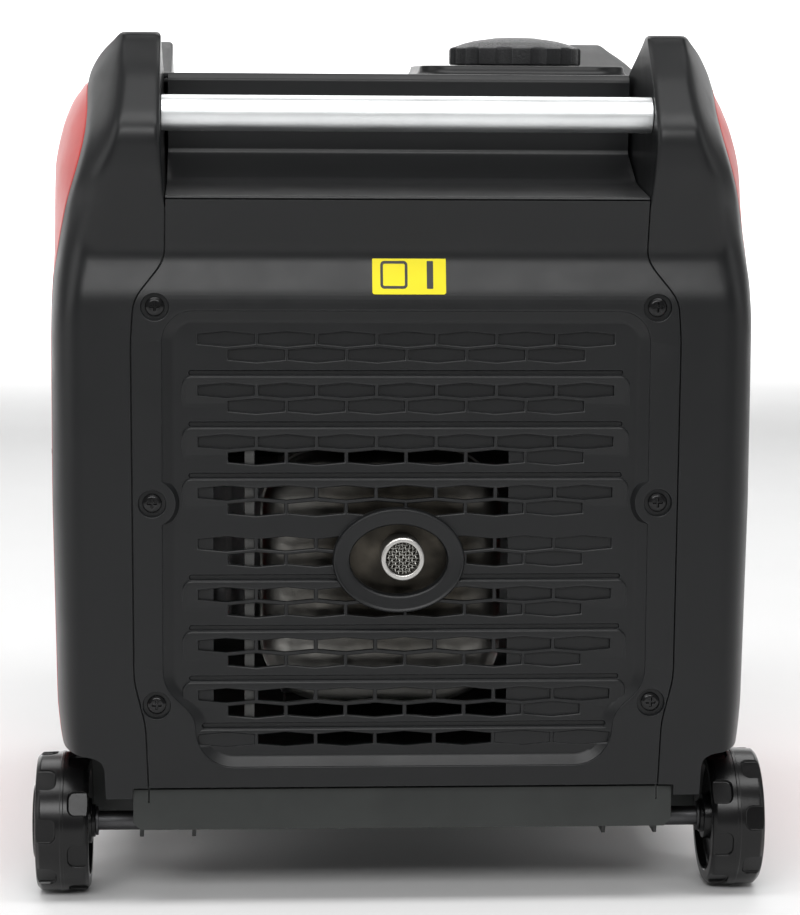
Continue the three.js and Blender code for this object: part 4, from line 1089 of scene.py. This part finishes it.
def add_rear_panel(shop):
    """The skin with its field, ribs, outlet opening, screw seats, slots and grooves."""
    panel = panel_skin("rear_panel_shell", -1)
    tray = rear_slab("tray", field_outline(0.6), [(1.6, 0), (5, 0), (7.5, -2.5)])
    bosses, recesses, bores = screw_seats()
    add(panel, tray, *bosses)
    cut(panel, field_cutter())
    add(panel, *[rib_plate(z, half) for z, half in ribs()])
    eye = ellipse(BEZEL["x"], BEZEL["z"], BEZEL["inner_x"] + 4, BEZEL["inner_z"] + 4)
    cut(panel, rear_slab("eye", eye, [(0, 0), (12, 0)]), *recesses, *bores)
    slots, ways = slot_cutters()
    grooves = [groove(z, half - 5.2) for z, half in ribs()]
    cut(panel, joined("slots", slots), joined("ways", ways), joined("grooves", grooves))
    panel = joined("rear_panel_shell", [panel, bezel_ring()])
    shop.dress(panel, "rear_panel")


def add_rear_screws(shop):
    """Cross-head screws, domed and slightly sunk."""
    seat = -PANEL_Y + SCREW["depth"] - GAP
    head = rounded([(0, -2.6), (4.2, -2.3, 2), (6, -1.2, 0.6), (6, 0, 0.3), (2.2, 0), (2.2, 11), (0, 11)], 3)
    for i, (x, z) in enumerate(screw_places()):
        name = f"rear_panel_screw_{i + 1}"
        screw = turned(f"{name}_head", "y", [(r, seat + t) for r, t in head], x, z, 40)
        for width, height in ((1.5, 6.4), (6.4, 1.5)):
            drive = [(seat - 4, 0.25), (seat - 2.2, 0.1), (seat - 0.5, -0.35)]
            cut(screw, slab("drive", "y", rectangle(x, z, width, height, 0.5, 2), drive))
        shop.dress(screw, name, "screw_finish")


def add_label(shop):
    """A plain yellow plate with two plain marks on the rear panel's shoulder."""
    x0, z0 = LABEL["x"], LABEL["z"]

    def on_slope(name, outline, stations):
        """A slab that follows the shoulder, its stations as (height over the shoulder, margin)."""
        rings = []
        for lift, margin in stations:
            ring = grown(outline, margin)
            rings.append([(x, along(POST_FRONT, z) - lift - PANEL_Y, z) for x, z in ring])
        return loft(name, rings)

    base = rectangle(x0, z0, LABEL["width"], LABEL["height"], 1.5)
    plate = on_slope("shoulder_label", base, [(-1.2, 0), (0.15, 0), (0.3, -0.2)])
    shop.dress(plate, "rear_panel", "label_yellow", replaces=False)
    square, bar = rectangle(x0 - 9.5, z0, 17, 17, 2.5), rectangle(x0 + 13, z0, 4, 17, 0.5)
    raised = [(0.1, 0), (0.42, 0)]
    mark = on_slope("shoulder_label_mark", square, raised)
    cut(mark, on_slope("middle", square, [(-1, -1.7), (1, -1.7)]))
    marks = joined("shoulder_label_mark", [mark, on_slope("bar", bar, raised)])
    shop.dress(marks, "rear_panel", "label_ink", replaces=False)


def add_front_panel(shop):
    """The skin with flared openings for the controls and outlets."""
    panel = panel_skin("front_panel_shell", 1)
    flare = [(-1, 1.0), (0, 1.0), (0.3, 0.3), (0.9, 0), (20, 0)]
    stations = [(PANEL_Y - depth, m) for depth, m in flare]
    holes = [slab("hole", "y", circle(x, z, r, 40), stations) for x, z, r in CONTROL_HOLES]
    holes += [slab("hole", "y", rectangle(x, z, w, h, r), stations) for x, z, w, h, r in CONTROL_WINDOWS]
    shop.dress(cut(panel, joined("holes", holes)), "front_panel")


# ---- handles, wheels and base

HUB_WALL = 6  # between the axle's end and the outside of the hub


def add_handles(shop):
    for end in ENDS:
        node = f"{end}_handle_tube"
        (x0, y0, z0), (x1, y1, z1) = box_of(node)
        y, z = (y0 + y1) / 2, (z0 + z1) / 2
        outer, bore = TUBE["radius"], TUBE["bore"]
        profile = rounded([(bore, x0), (outer, x0, 0.4), (outer, x1, 0.4), (bore, x1)])
        shop.dress(turned(f"{node}_round", "x", profile, y, z, 96), node)


def tread_pocket(turn, inward, side_x):
    """Cutter for one pocket in a wheel's tread, open to the side. inward points to the ridge."""
    reach = POCKET["reach"]
    half = math.radians(POCKET["degrees"]) * WHEEL["radius"] / 2
    outline = rounded([(-6, -half), (reach, -half, 4.5), (reach, half, 4.5), (-6, half)], 5)
    rings = []
    for radius, margin in ((43.1, -0.5), (43.5, 0), (44.6, 0.2), (45.2, 0.7), (48, 0.9)):
        ring = []
        for t, s in grown(outline, margin):
            a = turn + s / WHEEL["radius"]
            ring.append((side_x + inward * t, AXLE_Y + radius * math.cos(a), AXLE_Z + radius * math.sin(a)))
        rings.append(ring)
    return loft("pocket", rings)


def wheel(name, turn):
    """A wheel on the right: a crowned tread with staggered pockets, hub rings and a domed outer hub."""
    inner, side, rim, outer, radius = (WHEEL[key] for key in ("inner", "side", "rim", "outer", "radius"))
    middle, bore = (side + rim) / 2, AXLE["bore"]
    profile = rounded([
        (bore, inner), (10.5, inner, 0.5), (11, inner + 2.2, 0.5), (14.5, inner + 2.2, 0.5),
        (15.5, inner + 8, 1.5), (33, inner + 8, 2), (36, side, 1), (41.8, side, 2.2), (44.8, side + 2.6, 2.2),
        (45.2, middle - 1.2), (radius, middle - 0.8, 0.3), (radius, middle + 0.8, 0.3), (45.2, middle + 1.2),
        (44.8, rim - 3, 2.2), (41.8, rim, 2.2), (37, rim, 1), (35, rim - 2.4, 1.2), (26, rim - 1.6, 2),
        (23.5, outer - 0.7, 2), (14, outer, 3), (0, outer), (0, outer - HUB_WALL), (bore, outer - HUB_WALL),
    ], 5)
    body = turned(name, "x", profile, AXLE_Y, AXLE_Z, 128)
    pitch = 2 * math.pi / WHEEL["lobes"]
    first = math.pi - math.radians(turn)
    pockets = [tread_pocket(first + pitch * i, 1, side) for i in range(WHEEL["lobes"])]
    pockets += [tread_pocket(first + pitch * (i + 0.5), -1, rim) for i in range(WHEEL["lobes"])]
    return cut(body, joined("pockets", pockets))


def add_running_gear(shop):
    """Wheels, axle, washers, brackets, and the front stand with its feet."""
    for side, sx in SIDES.items():
        round_wheel = wheel("wheel", WHEEL_TURN[side])
        shop.dress(mirrored(round_wheel, f"{side}_wheel_round", sx, 1), f"{side}_wheel")
        bpy.data.objects.remove(round_wheel)
    end, radius, bore, rim = WHEEL["outer"] - HUB_WALL - GAP, AXLE["radius"], AXLE["bore"], AXLE["washer"]
    axle = rounded([(0, -end), (radius, -end, 0.8), (radius, end, 0.8), (0, end)])
    shop.dress(turned("axle_round", "x", axle, AXLE_Y, AXLE_Z), "axle", "axle_steel")
    for side in SIDES:
        (x0, *_), (x1, *_) = box_of(f"{side}_axle_washer")
        washer = rounded([(bore, x0), (rim, x0, 0.3), (rim, x1, 0.3), (bore, x1)])
        washer = turned(f"{side}_axle_washer_round", "x", washer, AXLE_Y, AXLE_Z)
        shop.dress(washer, f"{side}_axle_washer", "axle_steel")
        shop.keep(f"{side}_axle_bracket", 0.5)
        shop.keep(f"front_{side}_foot", 1.0)
    shop.keep("front_stand", 0.6)


def add_base_tray(shop):
    """The folded tray: floor, skirts, side flanges and the plates behind the wheels."""
    half, top, bottom, depth = SKIRT["half"], SKIRT["top"], SKIRT["bottom"], SKIRT["depth"]
    rear = -PANEL_Y + depth
    chamfer, slit_x = 4.5, 162
    skirt = rounded([
        (-half, top, 0.8), (half, top, 0.8), (half, bottom + chamfer, 1.5), (half - chamfer, bottom, 1.5),
        (-half + chamfer, bottom, 1.5), (-half, bottom + chamfer, 1.5),
    ], 3)
    tray = slab("base_tray_shell", "y", skirt, edged(rear, rear + SHEET, 0.7))
    slits = [((x - 0.6, rear - 2, top - 9), (x + 0.6, rear + 5, top + 2)) for x in (-slit_x, slit_x)]
    cut(tray, *[block("slit", low, high, 0.1) for low, high in slits])
    pieces = [tray, slab("front", "y", skirt, edged(-rear - SHEET, -rear, 0.7))]
    low = (-half, rear + SHEET - 0.4, FLOOR_TOP - SHEET)
    high = (half, -rear - SHEET + 0.4, FLOOR_TOP)
    pieces.append(block("floor", low, high, 0.4))
    guard = AXLE_Y + WHEEL["radius"] + 8
    for sx in SIDES.values():
        near, far = sorted((sx * (half - SHEET), sx * half))
        pieces.append(block("flange", (near, rear + 1, bottom + 5), (far, -rear - 1, FLOOR_TOP - 0.4), 0.4))
        near, far = sorted((sx * GUARD["near"], sx * GUARD["far"]))
        pieces.append(block("guard", (near, guard, GUARD["bottom"]), (far, guard + SHEET, GUARD["top"]), 0.4))
    shop.dress(joined("base_tray_shell", pieces), "base_tray", "skirt_paint")


# ---- exhaust


def wire(points, radius):
    """A round wire along points that lie across the Y axis."""
    sides = 6
    path = [Vector(p) for p in points]
    rings = []
    for i, p in enumerate(path):
        ahead = (path[min(i + 1, len(path) - 1)] - path[max(i - 1, 0)]).normalized()
        u = ahead.cross(Vector((0, 1, 0))).normalized()
        v = ahead.cross(u)
        turns = [2 * math.pi * k / sides for k in range(sides)]
        rings.append([tuple(p + (u * math.cos(a) + v * math.sin(a)) * radius) for a in turns])
    return loft("wire", rings)


def add_spark_screen(shop):
    """A crimped woven mesh inside the outlet."""
    x0, z0, reach, pitch = OUTLET["x"], OUTLET["z"], OUTLET["bore"] - 0.6, SCREEN["pitch"]
    y0 = box_of("spark_arrestor_screen")[0][1] + 1.2
    wires = []
    count = int(reach / pitch)
    for upright in (0, 1):
        for k in range(-count, count + 1):
            offset = k * pitch
            span = math.sqrt(max(reach ** 2 - offset ** 2, 1))
            points = []
            for i in range(33):
                t = -span + 2 * span * i / 32
                crimp = SCREEN["crimp"] * math.cos(math.pi * (t / pitch + k + upright))
                across = offset + SCREEN["bend"] * math.sin(1.3 * t + 2.1 * k)
                u, v = (across, t) if upright else (t, across)
                dome = SCREEN["dome"] * (u * u + v * v) / reach ** 2
                points.append((x0 + u, y0 + crimp + dome, z0 + v))
            wires.append(wire(points, SCREEN["wire"]))
    shop.dress(joined("spark_arrestor_mesh", wires), "spark_arrestor_screen", "mesh_wire")


def add_outlet(shop):
    (_, y0, _), (_, y1, _) = box_of("exhaust_outlet")
    outer, bore = OUTLET["outer"], OUTLET["bore"]
    pipe = rounded([(bore, y0, 0.7), (outer, y0, 1.4), (outer, y1), (bore, y1)], 4)
    shop.dress(turned("exhaust_outlet_pipe", "y", pipe, OUTLET["x"], OUTLET["z"], 72), "exhaust_outlet")


def add_muffler(shop):
    """Two pressed half shells, each domed toward its end, with a seam between them."""
    (x0, y0, z0), (x1, y1, z1) = box_of("muffler")
    outline = rectangle((x0 + x1) / 2, (z0 + z1) / 2, x1 - x0, z1 - z0, 40, 12)
    front = [(0, -34), (0.3, -26), (1.4, -17), (3.6, -9), (7, -4), (12, -1.6), (24, -1.4)]
    seam = [(24.3, 0), (26.3, 0), (26.6, -1.4)]
    back = [(y1 - y0 - t, m) for t, m in reversed(front[:-1])]
    stations = [(y0 + t, m) for t, m in [*front, *seam, *back]]
    shop.dress(slab("muffler_shell", "y", outline, stations), "muffler")
    shop.keep("muffler_bracket", 0.5, "bracket_steel")


def add_interior(shop):
    """What stays as the frame's own solids, with rounded edges."""
    kept = {
        "fuel_tank": 2.0, "fuel_cap_insert": 0.6, "engine_block": 2.0, "left_engine_mount": 1.0,
        "right_engine_mount": 1.0, "engine_cylinder": 0.6, "rocker_cover": 1.5, "crankshaft": 0.5,
        "flywheel_rotor": 0.6, "stator": 0.8, "recoil_housing": 0.6, "recoil_pulley": 0.5, "recoil_grip": 0.9,
        "air_filter_box": 1.0, "air_filter_element": 1.0, "carburettor": 1.0, "inverter_module": 0.6,
        "battery": 1.0, "run_dial": 0.6, "start_button": 0.5, "economy_rocker": 0.5, "ac_breaker_button": 0.5,
        "duplex_outlet": 0.4, "locking_outlet": 0.4, "ground_terminal": 0.4,
    }
    for node, width in kept.items():
        shop.keep(node, width)


# ---- stage


def plain(name, colour, roughness):
    """A pale, faintly mottled studio surface."""
    r = Recipe(name, colour, roughness)
    r.tint(0.01, 300)
    return r.material


def add_stage():
    """A pale floor that curves up into a backdrop."""
    points = [(x, y, z) for x in (-STAGE_HALF, STAGE_HALF) for y, z in STAGE_PROFILE]
    count = len(STAGE_PROFILE)
    faces = [(i, i + 1, count + i + 1, count + i) for i in range(count - 1)]
    mesh = bpy.data.meshes.new("stage")
    mesh.from_pydata(points, [], faces)
    mesh.polygons.foreach_set("use_smooth", [True] * len(mesh.polygons))
    mesh.materials.append(plain("stage", (0.82, 0.82, 0.82), 0.9))
    in_scene("stage", mesh)


def add_lamp(name, place_m, target, size, power):
    lamp = bpy.data.lights.new(name, "AREA")
    lamp.shape = "RECTANGLE"
    lamp.size, lamp.size_y = size
    lamp.energy = power
    holder = in_scene(name, lamp)
    holder.location = place_m
    holder.rotation_euler = (Vector(target) - Vector(place_m)).to_track_quat("-Z", "Y").to_euler()


def add_lights():
    """A weak all-round light, and lamps overhead, in front, at the sides and on the backdrop."""
    world = bpy.data.worlds.new("studio")
    bpy.context.scene.world = world
    bpy.context.scene.view_settings.view_transform = "Standard"
    world.use_nodes = True
    background = world.node_tree.nodes["Background"]
    background.inputs["Color"].default_value = (1, 1, 1, 1)
    background.inputs["Strength"].default_value = WORLD_STRENGTH
    for name, lamp in LAMPS.items():
        add_lamp(name, *lamp)


def add_camera():
    """Looks at the exhaust end from a little above and to the left."""
    yaw, pitch, roll = (math.radians(CAMERA[turn]) for turn in ("yaw", "pitch", "roll"))
    ahead = Vector((math.sin(yaw) * math.cos(pitch), math.cos(yaw) * math.cos(pitch), -math.sin(pitch)))
    level = Vector((math.cos(yaw), -math.sin(yaw), 0))
    above = level.cross(ahead)
    right = level * math.cos(roll) + above * math.sin(roll)
    up = above * math.cos(roll) - level * math.sin(roll)
    lens = bpy.data.cameras.new("camera")
    lens.sensor_width = 36
    lens.lens = CAMERA["lens"]
    lens.clip_end = 50
    camera = in_scene("camera", lens)
    basis = Matrix((right, up, -ahead)).transposed().to_4x4()
    camera.matrix_world = Matrix.Translation(Vector(CAMERA["place"]) * MM) @ basis
    bpy.context.scene.camera = camera


# ---- build

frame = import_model()
shop = Workshop(frame)
add_corner_covers(shop)
add_side_panels(shop)
add_service_door(shop)
add_top_cover(shop)
add_fuel_cap(shop)
add_rear_panel(shop)
add_rear_screws(shop)
add_label(shop)
add_front_panel(shop)
add_handles(shop)
add_running_gear(shop)
add_base_tray(shop)
add_outlet(shop)
add_spark_screen(shop)
add_muffler(shop)
add_interior(shop)
add_stage()
add_lights()
add_camera()
